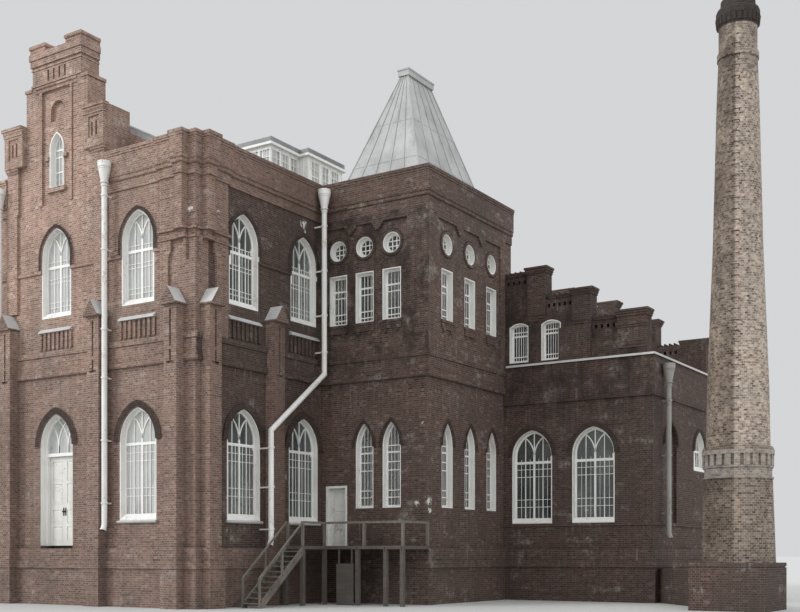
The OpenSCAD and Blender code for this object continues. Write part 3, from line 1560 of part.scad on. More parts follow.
main_plinth();
main_south_wall_west();
main_south_wall_east();
main_south_wall_over_door();
main_east_wall();
main_west_wall();
main_north_wall();
front_gable();
main_parapet();
corner_turrets();
buttresses();
buttress_caps();
main_floors();
main_roof();
roof_lantern();
main_window_frames();
main_window_glass();
window_sills();
front_door_frame();
front_door_left_leaf();
front_door_right_leaf();
tower_plinth();
tower_south_wall_west();
tower_south_wall_east();
tower_south_wall_over_door();
tower_east_wall();
tower_north_wall();
tower_parapet();
tower_floors();
tower_hood();
tower_window_frames();
tower_window_glass();
tower_door_frame();
tower_door();
wing_plinth();
wing_south_gable();
wing_east_wall();
wing_north_gable();
wing_gable_piers();
wing_roof();
wing_floor();
wing_window_frames();
wing_window_glass();
chimney_plinth();
chimney_base();
chimney_shaft();
chimney_crown();
flue_duct();
downpipes();
stair_landing();
stair_flight();
stair_rails();
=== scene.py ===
import bpy
import bmesh
import math
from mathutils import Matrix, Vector


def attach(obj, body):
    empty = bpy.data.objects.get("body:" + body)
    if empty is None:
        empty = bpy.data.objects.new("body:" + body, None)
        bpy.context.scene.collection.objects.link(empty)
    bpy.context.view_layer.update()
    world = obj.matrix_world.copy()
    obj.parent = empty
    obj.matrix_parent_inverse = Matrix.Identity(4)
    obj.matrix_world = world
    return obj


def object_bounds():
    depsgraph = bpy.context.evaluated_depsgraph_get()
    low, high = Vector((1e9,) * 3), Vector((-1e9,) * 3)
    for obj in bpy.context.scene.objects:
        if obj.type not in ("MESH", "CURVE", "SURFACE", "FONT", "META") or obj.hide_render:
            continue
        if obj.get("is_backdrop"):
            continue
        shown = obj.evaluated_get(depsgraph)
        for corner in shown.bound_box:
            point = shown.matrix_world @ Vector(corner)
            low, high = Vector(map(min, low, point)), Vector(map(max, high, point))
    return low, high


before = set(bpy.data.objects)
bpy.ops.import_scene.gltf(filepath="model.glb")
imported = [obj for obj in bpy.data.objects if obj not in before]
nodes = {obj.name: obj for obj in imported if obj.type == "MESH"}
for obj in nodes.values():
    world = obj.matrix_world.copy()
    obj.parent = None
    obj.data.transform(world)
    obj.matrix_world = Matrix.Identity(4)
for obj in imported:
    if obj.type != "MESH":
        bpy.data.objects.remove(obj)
low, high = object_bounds()
print("frame loaded")

# Places below are in metres from the corner between the two long fronts, at the ground:
# x runs east, y runs north and z up. This is where that corner stands in the frame.
siteCorner = Vector((-1.040, -10.275, 0))

cameraValues = {"place": (26.246, -28.106, 1.8), "bearing": 32.806, "lens": 51.024, "sensor": 36,
                "rise": 0.31163, "far": 3000}
cameraData = bpy.data.cameras.new("view")
cameraData.lens = cameraValues["lens"]
cameraData.sensor_width = cameraValues["sensor"]
cameraData.shift_y = cameraValues["rise"]
cameraData.clip_end = cameraValues["far"]
camera = bpy.data.objects.new("view", cameraData)
camera.location = siteCorner + Vector(cameraValues["place"])
camera.rotation_euler = (math.radians(90), 0, math.radians(cameraValues["bearing"]))
bpy.context.scene.collection.objects.link(camera)
bpy.context.scene.camera = camera
print("camera placed")


# Shader nodes

def addNode(tree, kind, inputs=None, **settings):
    made = tree.nodes.new(kind)
    for key, value in settings.items():
        setattr(made, key, value)
    for key, value in (inputs or {}).items():
        if isinstance(value, bpy.types.NodeSocket):
            tree.links.new(value, made.inputs[key])
        else:
            made.inputs[key].default_value = value
    return made


def calc(tree, operation, *values, clamp=False):
    step = addNode(tree, "ShaderNodeMath", dict(enumerate(values)), operation=operation, use_clamp=clamp)
    return step.outputs[0]


def times(tree, first, *others):
    for other in others:
        first = calc(tree, "MULTIPLY", first, other)
    return first


def inverse(tree, value):
    return calc(tree, "SUBTRACT", 1.0, value)


def blend(tree, factor, first, second, kind="MIX"):
    made = addNode(tree, "ShaderNodeMix", {0: factor, 6: first, 7: second}, data_type="RGBA",
                   blend_type=kind)
    return made.outputs[2]


def ramp(tree, value, start, end, low=0.0, high=1.0):
    made = addNode(tree, "ShaderNodeMapRange", {
        "Value": value, "From Min": start, "From Max": end, "To Min": low, "To Max": high})
    return made.outputs["Result"]


def cloud(tree, place, scale, detail=4.0, stretch=(1, 1, 1), rough=0.55):
    moved = addNode(tree, "ShaderNodeMapping", {"Vector": place, "Scale": stretch}).outputs["Vector"]
    made = addNode(tree, "ShaderNodeTexNoise", {
        "Vector": moved, "Scale": scale, "Detail": detail, "Roughness": rough})
    return made.outputs[0]


# A cloud's scale, detail, share of its height and roughness, spread between two levels
def patches(tree, place, noise, start, end, low=0.0, high=1.0):
    scale, detail, upright, rough = noise
    return ramp(tree, cloud(tree, place, scale, detail, (1, 1, upright), rough), start, end, low, high)


def objectPlace(tree):
    return addNode(tree, "ShaderNodeTexCoord").outputs["Object"]


def axes(tree, vector):
    return addNode(tree, "ShaderNodeSeparateXYZ", {0: vector}).outputs


def facingAxes(tree):
    return axes(tree, addNode(tree, "ShaderNodeTexCoord").outputs["Normal"])


# One at a place and falling to nothing at a radius from it
def nearness(tree, place, spot, radius):
    away = addNode(tree, "ShaderNodeVectorMath", {0: place, 1: spot}, operation="DISTANCE")
    return inverse(tree, calc(tree, "DIVIDE", away.outputs["Value"], radius))


def newGroup(name, takes, gives):
    group = bpy.data.node_groups.new(name, "ShaderNodeTree")
    for label, kind, value in takes:
        group.interface.new_socket(label, in_out="INPUT", socket_type=kind).default_value = value
    for label, kind in gives:
        group.interface.new_socket(label, in_out="OUTPUT", socket_type=kind)
    return group, group.nodes.new("NodeGroupInput").outputs, group.nodes.new("NodeGroupOutput").inputs


def giveAll(group, gives, **sockets):
    for label, socket in sockets.items():
        group.links.new(socket, gives[label])
    return group


def useGroup(tree, group, **inputs):
    made = tree.nodes.new("ShaderNodeGroup")
    made.node_tree = group
    for key, value in inputs.items():
        if isinstance(value, bpy.types.NodeSocket):
            tree.links.new(value, made.inputs[key])
        else:
            made.inputs[key].default_value = value
    return made.outputs


floatKind, colourKind, vectorKind = "NodeSocketFloat", "NodeSocketColor", "NodeSocketVector"


# Places on a flat wall: across it and up it, or the plan on a level face
def makeFlatCourses():
    group, _, gives = newGroup("flatCourses", [], [("Courses", vectorKind), ("Level", floatKind)])
    at, facing = axes(group, objectPlace(group)), facingAxes(group)
    faceX, faceY, faceZ = (calc(group, "ABSOLUTE", facing[i]) for i in range(3))
    level = calc(group, "GREATER_THAN", faceZ, 0.75)
    turned = times(group, calc(group, "GREATER_THAN", faceX, faceY), inverse(group, level))
    across = calc(group, "ADD", times(group, at[1], turned), times(group, at[0], inverse(group, turned)))
    up = calc(group, "ADD", times(group, at[1], level), times(group, at[2], inverse(group, level)))
    joined = addNode(group, "ShaderNodeCombineXYZ", {0: across, 1: up})
    return giveAll(group, gives, Courses=joined.outputs[0], Level=level)


# Places on the round chimney: along the ring and up it
ringValues = {"centre": (14.340, -1.005), "bricksRound": 48, "brickLength": 0.13}


def ringAngle(tree, at):
    east, north = (calc(tree, "SUBTRACT", at[i], ringValues["centre"][i]) for i in range(2))
    return calc(tree, "ARCTAN2", north, east)


def makeRingCourses():
    group, _, gives = newGroup("ringCourses", [], [("Courses", vectorKind)])
    at = axes(group, objectPlace(group))
    turn = ringValues["bricksRound"] * ringValues["brickLength"] / math.tau
    along = times(group, ringAngle(group, at), turn)
    joined = addNode(group, "ShaderNodeCombineXYZ", {0: along, 1: at[2]})
    return giveAll(group, gives, Courses=joined.outputs[0])


# Bricks in their joints: each brick has its own shade, and a few are pale or burnt
def makeBrickwork(name, width, squash):
    group, takes, gives = newGroup(name, [
        ("Courses", vectorKind, (0, 0, 0)), ("Dark", colourKind, (0.1, 0.05, 0.04, 1)),
        ("Light", colourKind, (0.3, 0.2, 0.15, 1)), ("Mortar", colourKind, (0.4, 0.38, 0.34, 1)),
        ("Odd", floatKind, 0.1), ("Coarse", floatKind, 0.5)],
        [("Colour", colourKind), ("Relief", floatKind), ("Grain", floatKind)])
    place = objectPlace(group)
    bricks = addNode(group, "ShaderNodeTexBrick", {
        "Vector": takes["Courses"], "Color1": (0, 0, 0, 1), "Color2": (1, 1, 1, 1),
        "Mortar": (0.5, 0.5, 0.5, 1), "Scale": 1.0, "Mortar Size": 0.006, "Mortar Smooth": 0.15,
        "Bias": 0.0, "Brick Width": width, "Row Height": 0.0765}, offset=0.5, offset_frequency=2,
        squash=squash, squash_frequency=2)
    shade = addNode(group, "ShaderNodeSeparateColor", {0: bricks.outputs["Color"]}).outputs[0]
    grain = cloud(group, place, 55.0, 3.0)
    patch = cloud(group, place, 1.7, 5.0)
    tone = calc(group, "ADD", times(group, shade, takes["Coarse"]),
                times(group, ramp(group, patch, 0.32, 0.68), 0.25))
    clump = patches(group, place, (7.5, 5.0, 1.6, 0.65), 0.36, 0.64, -0.22, 0.45)
    tone = calc(group, "ADD", tone, clump, clamp=True)
    colour = blend(group, tone, takes["Dark"], takes["Light"])
    pale = times(group, ramp(group, shade, 0.93, 0.96), takes["Odd"])
    colour = blend(group, pale, colour, takes["Mortar"])
    burnt = times(group, ramp(group, shade, 0.06, 0.03), takes["Odd"])
    colour = blend(group, burnt, colour, (0.040, 0.030, 0.027, 1))
    speckle = ramp(group, grain, 0.3, 0.7, 0.0, 0.35)
    colour = blend(group, speckle, colour, (0.12, 0.10, 0.09, 1), "SOFT_LIGHT")
    joint = bricks.outputs["Fac"]
    pointed = times(group, joint, ramp(group, patch, 0.35, 0.6, 0.9, 0.55))
    colour = blend(group, pointed, colour, takes["Mortar"])
    relief = calc(group, "SUBTRACT", times(group, grain, 0.3), joint)
    return giveAll(group, gives, Colour=colour, Relief=relief, Grain=grain)


# Soot in broad clouds, rain streaks, pale salt stains, a dirty foot, painted shadow by the outside stair,
# and pale drips below the lines where rain gathers: each is a height and how far its drips run down
dripLines = [(2.05, 1.3), (3.03, 0.55), (8.36, 2.0), (9.60, 1.0), (10.52, 0.5)]
# Lime spots on the walls: a place in the frame and a radius
limeSpots = [((-1.26, -10.275, 13.40), 0.17), ((-0.94, -9.23, 13.55), 0.10), ((-1.04, -4.40, 14.32), 0.24),
             ((-1.04, -4.28, 14.02), 0.10), ((3.71, -3.08, 3.78), 0.26), ((3.71, -3.02, 3.46), 0.18),
             ((3.28, -3.215, 3.72), 0.17), ((3.50, -3.215, 6.62), 0.10)]
# Painted shadow on the walls under and beside the outside stair: a place in the frame and a radius
stairShadow = ((-0.30, -3.20, 0.70), 3.1)


def makeWeatheringAndShade():
    group, takes, gives = newGroup("weatheringAndShade", [
        ("Colour", colourKind, (0.5, 0.5, 0.5, 1)), ("Soot", floatKind, 0.5), ("Streaks", floatKind, 0.3),
        ("Salt", floatKind, 0.2), ("Foot", floatKind, 0.5), ("Drips", floatKind, 0.0)],
        [("Colour", colourKind), ("Grime", floatKind)])
    place = objectPlace(group)
    height = axes(group, place)[2]
    cloudy = patches(group, place, (0.28, 6.0, 0.6, 0.6), 0.40, 0.66)
    streak = patches(group, place, (3.2, 4.0, 0.10, 0.6), 0.50, 0.74)
    foot = times(group, ramp(group, height, 2.4, 0.2),
                 patches(group, place, (1.4, 5.0, 1, 0.55), 0.30, 0.62))
    grime = calc(group, "ADD", times(group, cloudy, takes["Soot"]), times(group, streak, takes["Streaks"]),
                 clamp=True)
    grime = calc(group, "ADD", grime, times(group, foot, takes["Foot"]), clamp=True)
    colour = blend(group, grime, takes["Colour"], (0.045, 0.040, 0.036, 1))
    salt = times(group, patches(group, place, (0.75, 7.0, 1.8, 0.7), 0.56, 0.70),
                 patches(group, place, (9.0, 4.0, 0.4, 0.7), 0.42, 0.62), takes["Salt"])
    colour = blend(group, salt, colour, (0.34, 0.32, 0.285, 1))
    under = 0.0
    for line, reach in dripLines:
        zone = times(group, ramp(group, height, line - reach, line),
                     calc(group, "LESS_THAN", height, line))
        under = calc(group, "MAXIMUM", zone, under)
    drips = times(group, patches(group, place, (9.0, 6.0, 0.055, 0.62), 0.54, 0.70), under,
                  patches(group, place, (1.1, 3.0, 1, 0.55), 0.40, 0.62), takes["Drips"])
    colour = blend(group, drips, colour, (0.32, 0.30, 0.27, 1))
    ragged = patches(group, place, (11.0, 6.0, 0.7, 0.75), 0.3, 0.7, -0.85, 0.60)
    limed = 0.0
    for spot, radius in limeSpots:
        near = calc(group, "ADD", nearness(group, place, spot, radius), ragged)
        limed = calc(group, "MAXIMUM", limed, near)
    colour = blend(group, ramp(group, limed, 0.25, 0.55), colour, (0.62, 0.60, 0.56, 1))
    # Painted shadow under and beside the outside stair, as deep as the soot-and-shade amount
    near = calc(group, "ADD", nearness(group, place, *stairShadow), times(group, cloudy, 0.35))
    black = times(group, ramp(group, near, 0.10, 0.75, 0.0, 0.78), takes["Soot"])
    colour = blend(group, black, colour, (0.0, 0.0, 0.0, 1))
    return giveAll(group, gives, Colour=colour, Grime=grime)


# Paint that has flaked off in small patches, with brush marks along its height
def makeFlaking():
    group, takes, gives = newGroup("flaking", [
        ("Paint", colourKind, (0.8, 0.8, 0.76, 1)), ("Under", colourKind, (0.3, 0.27, 0.23, 1)),
        ("Amount", floatKind, 0.5)], [("Colour", colourKind), ("Bare", floatKind), ("Relief", floatKind)])
    place = objectPlace(group)
    wide = cloud(group, place, 1.3, 3.0)
    fine = cloud(group, place, 17.0, 6.0, (1, 1, 0.5), 0.7)
    both = calc(group, "ADD", times(group, wide, 0.5), times(group, fine, 0.5))
    bare = times(group, ramp(group, both, 0.575, 0.60), takes["Amount"])
    tone = patches(group, place, (4.0, 5.0, 0.3, 0.55), 0.35, 0.7)
    dull = blend(group, times(group, tone, 0.20), takes["Paint"], takes["Under"])
    colour = blend(group, bare, dull, takes["Under"])
    brush = cloud(group, place, 60.0, 2.0, (1, 1, 0.04))
    relief = calc(group, "SUBTRACT", times(group, brush, 0.25), bare)
    return giveAll(group, gives, Colour=colour, Bare=bare, Relief=relief)


flatCourses = makeFlatCourses()
ringCourses = makeRingCourses()
brickwork = makeBrickwork("brickwork", 0.26, 0.5)
ringBrickwork = makeBrickwork("ringBrickwork", ringValues["brickLength"], 1.0)
weatheringAndShade = makeWeatheringAndShade()
flaking = makeFlaking()


def newMaterial(name):
    material = bpy.data.materials.new(name)
    material.use_nodes = True
    return material, material.node_tree, material.node_tree.nodes["Principled BSDF"]


def finishShader(tree, shader, colour, roughness, relief, depth, strength=0.7):
    tree.links.new(colour, shader.inputs["Base Color"])
    tree.links.new(roughness, shader.inputs["Roughness"])
    bump = addNode(tree, "ShaderNodeBump", {"Height": relief, "Distance": depth, "Strength": strength})
    tree.links.new(bump.outputs[0], shader.inputs["Normal"])


# Beside its bricks and weathering, a wall may have a darker top (soot on the chimney, painted cast shadow
# on the south walls of the tower and wing), a dark stain on one side of the chimney, painted shade on faces
# turned from the south, an upper wall made paler towards the west by painted light, or a whitewashed band
def brickMaterial(name, values):
    material, tree, shader = newMaterial(name)
    courses = useGroup(tree, ringCourses if values.get("ring") else flatCourses)
    bricks = useGroup(tree, ringBrickwork if values.get("ring") else brickwork,
                      Courses=courses["Courses"], Dark=(*values["dark"], 1), Light=(*values["light"], 1),
                      Mortar=(*values["mortar"], 1), Odd=values["odd"], Coarse=values["coarse"])
    wornAndShaded = useGroup(tree, weatheringAndShade, Colour=bricks["Colour"], Soot=values["sootAndShade"],
                    Streaks=values["streaks"], Salt=values["salt"], Foot=values["foot"],
                    Drips=values["drips"])
    colour = wornAndShaded["Colour"]
    place = objectPlace(tree)
    at = axes(tree, place)
    # A darker top: real soot on the chimney, painted cast shadow on the south walls of the tower and wing
    if "sootAndShadowTop" in values:
        sootAndShadow = times(tree, ramp(tree, at[2], *values["sootAndShadowTop"]),
                      patches(tree, place, (1.5, 6.0, 0.7, 0.7), 0.40, 0.62), 0.8)
        colour = blend(tree, sootAndShadow, colour, (*values["sootAndShadowColour"], 1))
    if "stain" in values:
        angle = ringAngle(tree, at)
        line = math.radians(values["stain"])
        washed = times(tree, ramp(tree, angle, line - 0.07, line + 0.02, 1.0, 0.0),
                       ramp(tree, angle, -3.1, -2.7),
                       patches(tree, place, (1.1, 6.0, 0.6, 0.65), 0.30, 0.58, 0.45, 1.0))
        colour = blend(tree, washed, colour, (0.40, 0.375, 0.36, 1), "MULTIPLY")
    # Painted shade on the faces turned from the south, deepening towards the north
    if "sideShade" in values:
        aside = calc(tree, "GREATER_THAN", facingAxes(tree)[1], -0.5)
        shaded = times(tree, aside, ramp(tree, at[1], -10.3, -5.5, 0.2, 1.0), values["sideShade"])
        colour = blend(tree, shaded, colour, (0.060, 0.038, 0.030, 1))
    # Painted haze of light: the upper wall grows paler towards its top and towards the west end
    if "paintedHazeTop" in values:
        foot, top, amount = values["paintedHazeTop"]
        paintedHaze = times(tree, ramp(tree, at[2], foot, top, 0.0, amount),
                      patches(tree, place, (0.8, 6.0, 0.7, 0.65), 0.30, 0.60, 0.45, 1.0),
                      ramp(tree, at[0], -2.0, -9.0, 0.25, 1.0))
        colour = blend(tree, paintedHaze, colour, (2.0, 1.98, 1.95, 1), "MULTIPLY")
    if "paleBand" in values:
        foot, top = values["paleBand"]
        limed = times(tree, calc(tree, "GREATER_THAN", at[2], foot), calc(tree, "LESS_THAN", at[2], top),
                      patches(tree, place, (3.0, 6.0, 2, 0.7), 0.34, 0.58, 0.02, 0.30))
        colour = blend(tree, limed, colour, (0.60, 0.565, 0.51, 1))
    rough = ramp(tree, bricks["Grain"], 0.3, 0.7, 0.80, 0.96)
    finishShader(tree, shader, colour, rough, bricks["Relief"], 0.006)
    shader.inputs["Specular IOR Level"].default_value = 0.3
    return material


def paintMaterial(name, values):
    material, tree, shader = newMaterial(name)
    coat = useGroup(tree, flaking, Paint=(*values["paint"], 1), Under=(*values["under"], 1),
                    Amount=values["bare"])
    wornAndShaded = useGroup(tree, weatheringAndShade, Colour=coat["Colour"], Soot=values["sootAndShade"], Streaks=values["streaks"],
                    Salt=0.0, Foot=values["foot"])
    rough = calc(tree, "ADD", ramp(tree, coat["Bare"], 0.0, 1.0, 0.42, 0.78),
                 times(tree, wornAndShaded["Grime"], 0.2))
    finishShader(tree, shader, wornAndShaded["Colour"], rough, coat["Relief"], 0.002)
    return material


def metalMaterial(name, values):
    material, tree, shader = newMaterial(name)
    place = objectPlace(tree)
    fine = cloud(tree, place, 14.0, 5.0, (1, 1, 0.3), 0.65)
    tone = calc(tree, "ADD", patches(tree, place, (0.9, 5.0, 1, 0.55), 0.35, 0.65, 0.0, 0.6),
                ramp(tree, fine, 0.35, 0.65, 0.0, 0.4))
    colour = blend(tree, tone, (*values["dark"], 1), (*values["light"], 1))
    wornAndShaded = useGroup(tree, weatheringAndShade, Colour=colour, Soot=values["sootAndShade"], Streaks=values["streaks"],
                    Salt=0.0, Foot=0.3)
    rough = ramp(tree, fine, 0.3, 0.7, values["smooth"], values["smooth"] + 0.25)
    dents = calc(tree, "ADD", cloud(tree, place, 2.6, 2.0), times(tree, fine, 0.15))
    finishShader(tree, shader, wornAndShaded["Colour"], rough, dents, 0.012, 0.5)
    shader.inputs["Metallic"].default_value = values["metallic"]
    return material


def timberMaterial(name, values):
    material, tree, shader = newMaterial(name)
    courses = useGroup(tree, flatCourses)
    boards = addNode(tree, "ShaderNodeTexBrick", {
        "Vector": courses["Courses"], "Color1": (0, 0, 0, 1), "Color2": (1, 1, 1, 1),
        "Mortar": (0, 0, 0, 1), "Scale": 1.0, "Mortar Size": 0.004, "Mortar Smooth": 0.2,
        "Brick Width": values["boardLength"], "Row Height": values["boardWidth"]}, offset=0.37)
    shade = addNode(tree, "ShaderNodeSeparateColor", {0: boards.outputs["Color"]}).outputs[0]
    gap = times(tree, boards.outputs["Fac"], courses["Level"])
    grain = cloud(tree, objectPlace(tree), 1.0, 5.0, values["grain"], 0.65)
    tone = calc(tree, "ADD", ramp(tree, grain, 0.3, 0.7, 0.0, 0.7),
                times(tree, shade, courses["Level"], 0.3))
    colour = blend(tree, tone, (*values["dark"], 1), (*values["light"], 1))
    colour = blend(tree, gap, colour, (0.03, 0.025, 0.02, 1))
    wornAndShaded = useGroup(tree, weatheringAndShade, Colour=colour, Soot=values["sootAndShade"], Streaks=0.25, Salt=0.0, Foot=0.45)
    rough = ramp(tree, grain, 0.3, 0.7, 0.72, 0.92)
    relief = calc(tree, "SUBTRACT", times(tree, grain, 0.4), gap)
    finishShader(tree, shader, wornAndShaded["Colour"], rough, relief, 0.004)
    return material


def glassMaterial(name, values):
    material, tree, shader = newMaterial(name)
    place = objectPlace(tree)
    dust = calc(tree, "ADD", patches(tree, place, (2.2, 6.0, 0.6, 0.65), 0.38, 0.72, 0.0, 0.45),
                patches(tree, place, (0.35, 2.0, 0.5, 0.55), 0.44, 0.58, 0.0, 0.8), clamp=True)
    colour = blend(tree, times(tree, dust, values["dust"]), (*values["clear"], 1), (*values["dusty"], 1))
    # South-facing panes and the lantern's lights turn pale: partly whitened glass, partly painted sky
    # reflection
    if "southPale" in values:
        limed = times(tree, patches(tree, place, (0.9, 5.0, 0.6, 0.6), 0.28, 0.52, 0.35, 1.0),
                      calc(tree, "LESS_THAN", facingAxes(tree)[1], -0.5))
        lantern = ramp(tree, axes(tree, place)[2], 18.3, 18.5, 0.0, 0.95)
        colour = blend(tree, calc(tree, "MAXIMUM", limed, lantern), colour, (*values["southPale"], 1))
    rough = ramp(tree, dust, 0.0, 1.0, 0.04, 0.32)
    finishShader(tree, shader, colour, rough, cloud(tree, place, 3.5, 2.0), 0.006, 0.35)
    shader.inputs["Transmission Weight"].default_value = values["through"]
    shader.inputs["IOR"].default_value = 1.5
    return material


darkWall = {
    "dark": (0.041, 0.022, 0.018), "light": (0.112, 0.064, 0.050), "mortar": (0.174, 0.158, 0.135),
    "odd": 0.30, "coarse": 0.52, "sootAndShade": 0.50, "streaks": 0.26, "salt": 0.70, "foot": 0.10, "drips": 0.45}
towerWall = {
    "dark": (0.055, 0.030, 0.024), "light": (0.159, 0.093, 0.072), "mortar": (0.244, 0.222, 0.189),
    "odd": 0.40, "coarse": 0.60, "sootAndShade": 0.38, "streaks": 0.24, "salt": 0.90, "foot": 0.15, "drips": 0.60}
wallBrick = brickMaterial("wallBrick", darkWall)
# The wing's upper south wall is darkened: painted cast shadow
wingSouthBrick = brickMaterial("wingSouthBrick", {
    **darkWall, "salt": 0.80, "sootAndShadowTop": (6.4, 8.4), "sootAndShadowColour": (0.020, 0.016, 0.014)})
towerBrick = brickMaterial("towerBrick", towerWall)
# The tower's upper south wall is darkened: painted cast shadow of the main block
towerSouthBrick = brickMaterial("towerSouthBrick", {
    **towerWall, "sootAndShade": 0.40, "streaks": 0.26, "sootAndShadowTop": (7.4, 9.8),
    "sootAndShadowColour": (0.022, 0.018, 0.016)})
# The south front's brick is paler than the other walls': partly its own colour, partly painted light
frontBrick = brickMaterial("frontBrick", {
    "dark": (0.122, 0.069, 0.054), "light": (0.290, 0.186, 0.144), "mortar": (0.395, 0.361, 0.315),
    "odd": 0.26, "coarse": 0.52, "sootAndShade": 0.30, "streaks": 0.20, "salt": 0.70, "foot": 0.22, "drips": 0.40,
    "sideShade": 0.62, "paintedHazeTop": (6.0, 14.0, 1.0)})
hoodBrick = brickMaterial("hoodBrick", {
    "dark": (0.028, 0.018, 0.016), "light": (0.073, 0.045, 0.036), "mortar": (0.096, 0.087, 0.074),
    "odd": 0.2, "coarse": 0.5, "sootAndShade": 0.25, "streaks": 0.15, "salt": 0.15, "foot": 0.1, "drips": 0.0})
chimneyBrick = brickMaterial("chimneyBrick", {
    "dark": (0.086, 0.058, 0.046), "light": (0.572, 0.468, 0.378), "mortar": (0.560, 0.517, 0.458),
    "odd": 0.10, "coarse": 0.62, "sootAndShade": 0.20, "streaks": 0.22, "salt": 0.6, "foot": 0.0, "drips": 0.0,
    "sootAndShadowTop": (16.2, 19.0), "sootAndShadowColour": (0.06, 0.052, 0.047), "stain": -79, "ring": True})
baseBrick = brickMaterial("baseBrick", {
    "dark": (0.054, 0.036, 0.028), "light": (0.301, 0.235, 0.183), "mortar": (0.391, 0.360, 0.317),
    "odd": 0.35, "coarse": 0.65, "sootAndShade": 0.26, "streaks": 0.30, "salt": 0.7, "foot": 0.2, "drips": 0.0,
    "paleBand": (4.30, 5.20), "stain": -79, "ring": True})
crownBrick = brickMaterial("crownBrick", {
    "dark": (0.021, 0.016, 0.014), "light": (0.068, 0.048, 0.040), "mortar": (0.088, 0.080, 0.072),
    "odd": 0.2, "coarse": 0.5, "sootAndShade": 0.5, "streaks": 0.3, "salt": 0.1, "foot": 0.0, "drips": 0.0,
    "ring": True})
whitePaint = paintMaterial("whitePaint", {
    "paint": (0.80, 0.795, 0.765), "under": (0.40, 0.36, 0.30), "bare": 0.40, "sootAndShade": 0.05, "streaks": 0.10,
    "foot": 0.1})
doorPaint = paintMaterial("doorPaint", {
    "paint": (0.70, 0.695, 0.655), "under": (0.31, 0.26, 0.20), "bare": 0.6, "sootAndShade": 0.10, "streaks": 0.16,
    "foot": 0.1})
pipePaint = paintMaterial("pipePaint", {
    "paint": (0.76, 0.755, 0.73), "under": (0.28, 0.20, 0.14), "bare": 0.4, "sootAndShade": 0.05, "streaks": 0.12,
    "foot": 0.2})
lanternSheet = metalMaterial("lanternSheet", {
    "dark": (0.150, 0.153, 0.152), "light": (0.270, 0.274, 0.272), "sootAndShade": 0.15, "streaks": 0.2,
    "smooth": 0.45, "metallic": 0.0})
hoodSheet = metalMaterial("hoodSheet", {
    "dark": (0.326, 0.330, 0.326), "light": (0.475, 0.480, 0.466), "sootAndShade": 0.16, "streaks": 0.28,
    "smooth": 0.46, "metallic": 0.0})
roofSheet = metalMaterial("roofSheet", {
    "dark": (0.281, 0.285, 0.281), "light": (0.442, 0.446, 0.442), "sootAndShade": 0.22, "streaks": 0.3,
    "smooth": 0.48, "metallic": 0.0})
ledgeSheet = {
    "dark": (0.434, 0.434, 0.420), "light": (0.532, 0.532, 0.518), "sootAndShade": 0.08, "streaks": 0.16,
    "smooth": 0.46, "metallic": 0.0}
capSheet, sillSheet = (metalMaterial(name, ledgeSheet) for name in ("capSheet", "sillSheet"))
ironwork = metalMaterial("ironwork", {
    "dark": (0.030, 0.022, 0.018), "light": (0.120, 0.062, 0.038), "sootAndShade": 0.3, "streaks": 0.2,
    "smooth": 0.55, "metallic": 0.6})
deckTimber = timberMaterial("deckTimber", {
    "dark": (0.068, 0.058, 0.046), "light": (0.170, 0.152, 0.128), "boardLength": 2.4, "boardWidth": 0.16,
    "grain": (2.0, 26.0, 26.0), "sootAndShade": 0.22})
postTimber = timberMaterial("postTimber", {
    "dark": (0.108, 0.093, 0.074), "light": (0.280, 0.252, 0.212), "boardLength": 4.0, "boardWidth": 4.0,
    "grain": (26.0, 26.0, 2.2), "sootAndShade": 0.20})
floorTimber = timberMaterial("floorTimber", {
    "dark": (0.11, 0.085, 0.06), "light": (0.27, 0.215, 0.155), "boardLength": 4.2, "boardWidth": 0.19,
    "grain": (1.2, 22.0, 22.0), "sootAndShade": 0.3})
oldGlass = glassMaterial("oldGlass", {
    "clear": (0.12, 0.14, 0.14), "dusty": (0.68, 0.69, 0.66), "dust": 0.55, "through": 0.74})
mainGlass = glassMaterial("mainGlass", {
    "clear": (0.075, 0.088, 0.088), "dusty": (0.42, 0.43, 0.41), "dust": 0.45, "through": 0.35,
    "southPale": (0.66, 0.67, 0.65)})


# Keeps a material on the faces that look up, and on all above a height, and gives the others another
# colour and roughness
def onlyAbove(material, least, colour, roughness, allAbove=100.0):
    tree = material.node_tree
    inputs = tree.nodes["Principled BSDF"].inputs
    above = calc(tree, "MAXIMUM", calc(tree, "GREATER_THAN", facingAxes(tree)[2], least),
                 calc(tree, "GREATER_THAN", axes(tree, objectPlace(tree))[2], allAbove))
    first, rough = (inputs[label].links[0].from_socket for label in ("Base Color", "Roughness"))
    tree.links.new(blend(tree, above, colour, first), inputs["Base Color"])
    mixed = calc(tree, "ADD", times(tree, rough, above), times(tree, roughness, inverse(tree, above)))
    tree.links.new(mixed, inputs["Roughness"])


# The caps of the buttresses are brick gables with sheet only on their slopes
tree = capSheet.node_tree
bricks = useGroup(tree, brickwork, Courses=useGroup(tree, flatCourses)["Courses"],
                  Dark=(0.085, 0.048, 0.038, 1), Light=(0.210, 0.130, 0.100, 1),
                  Mortar=(0.29, 0.265, 0.230, 1), Odd=0.3, Coarse=0.5)
onlyAbove(capSheet, 0.2, bricks["Colour"], 0.9)
# The lantern is painted boards under a sheet roof
coat = useGroup(lanternSheet.node_tree, flaking, Paint=(0.74, 0.735, 0.705, 1),
                Under=(0.42, 0.39, 0.34, 1), Amount=0.5)
onlyAbove(lanternSheet, 0.5, coat["Colour"], 0.5, 20.07)
# The lower roof is edged with dark boards
onlyAbove(roofSheet, 0.05, (0.050, 0.042, 0.036, 1), 0.85, 13.0)
# The pipe on the wing's corner is darker than the others
tree = pipePaint.node_tree
farEast = calc(tree, "GREATER_THAN", axes(tree, objectPlace(tree))[0], 7.0)
painted = tree.nodes["Principled BSDF"].inputs["Base Color"]
darker = blend(tree, farEast, painted.links[0].from_socket, (0.42, 0.41, 0.39, 1), "MULTIPLY")
tree.links.new(darker, painted)

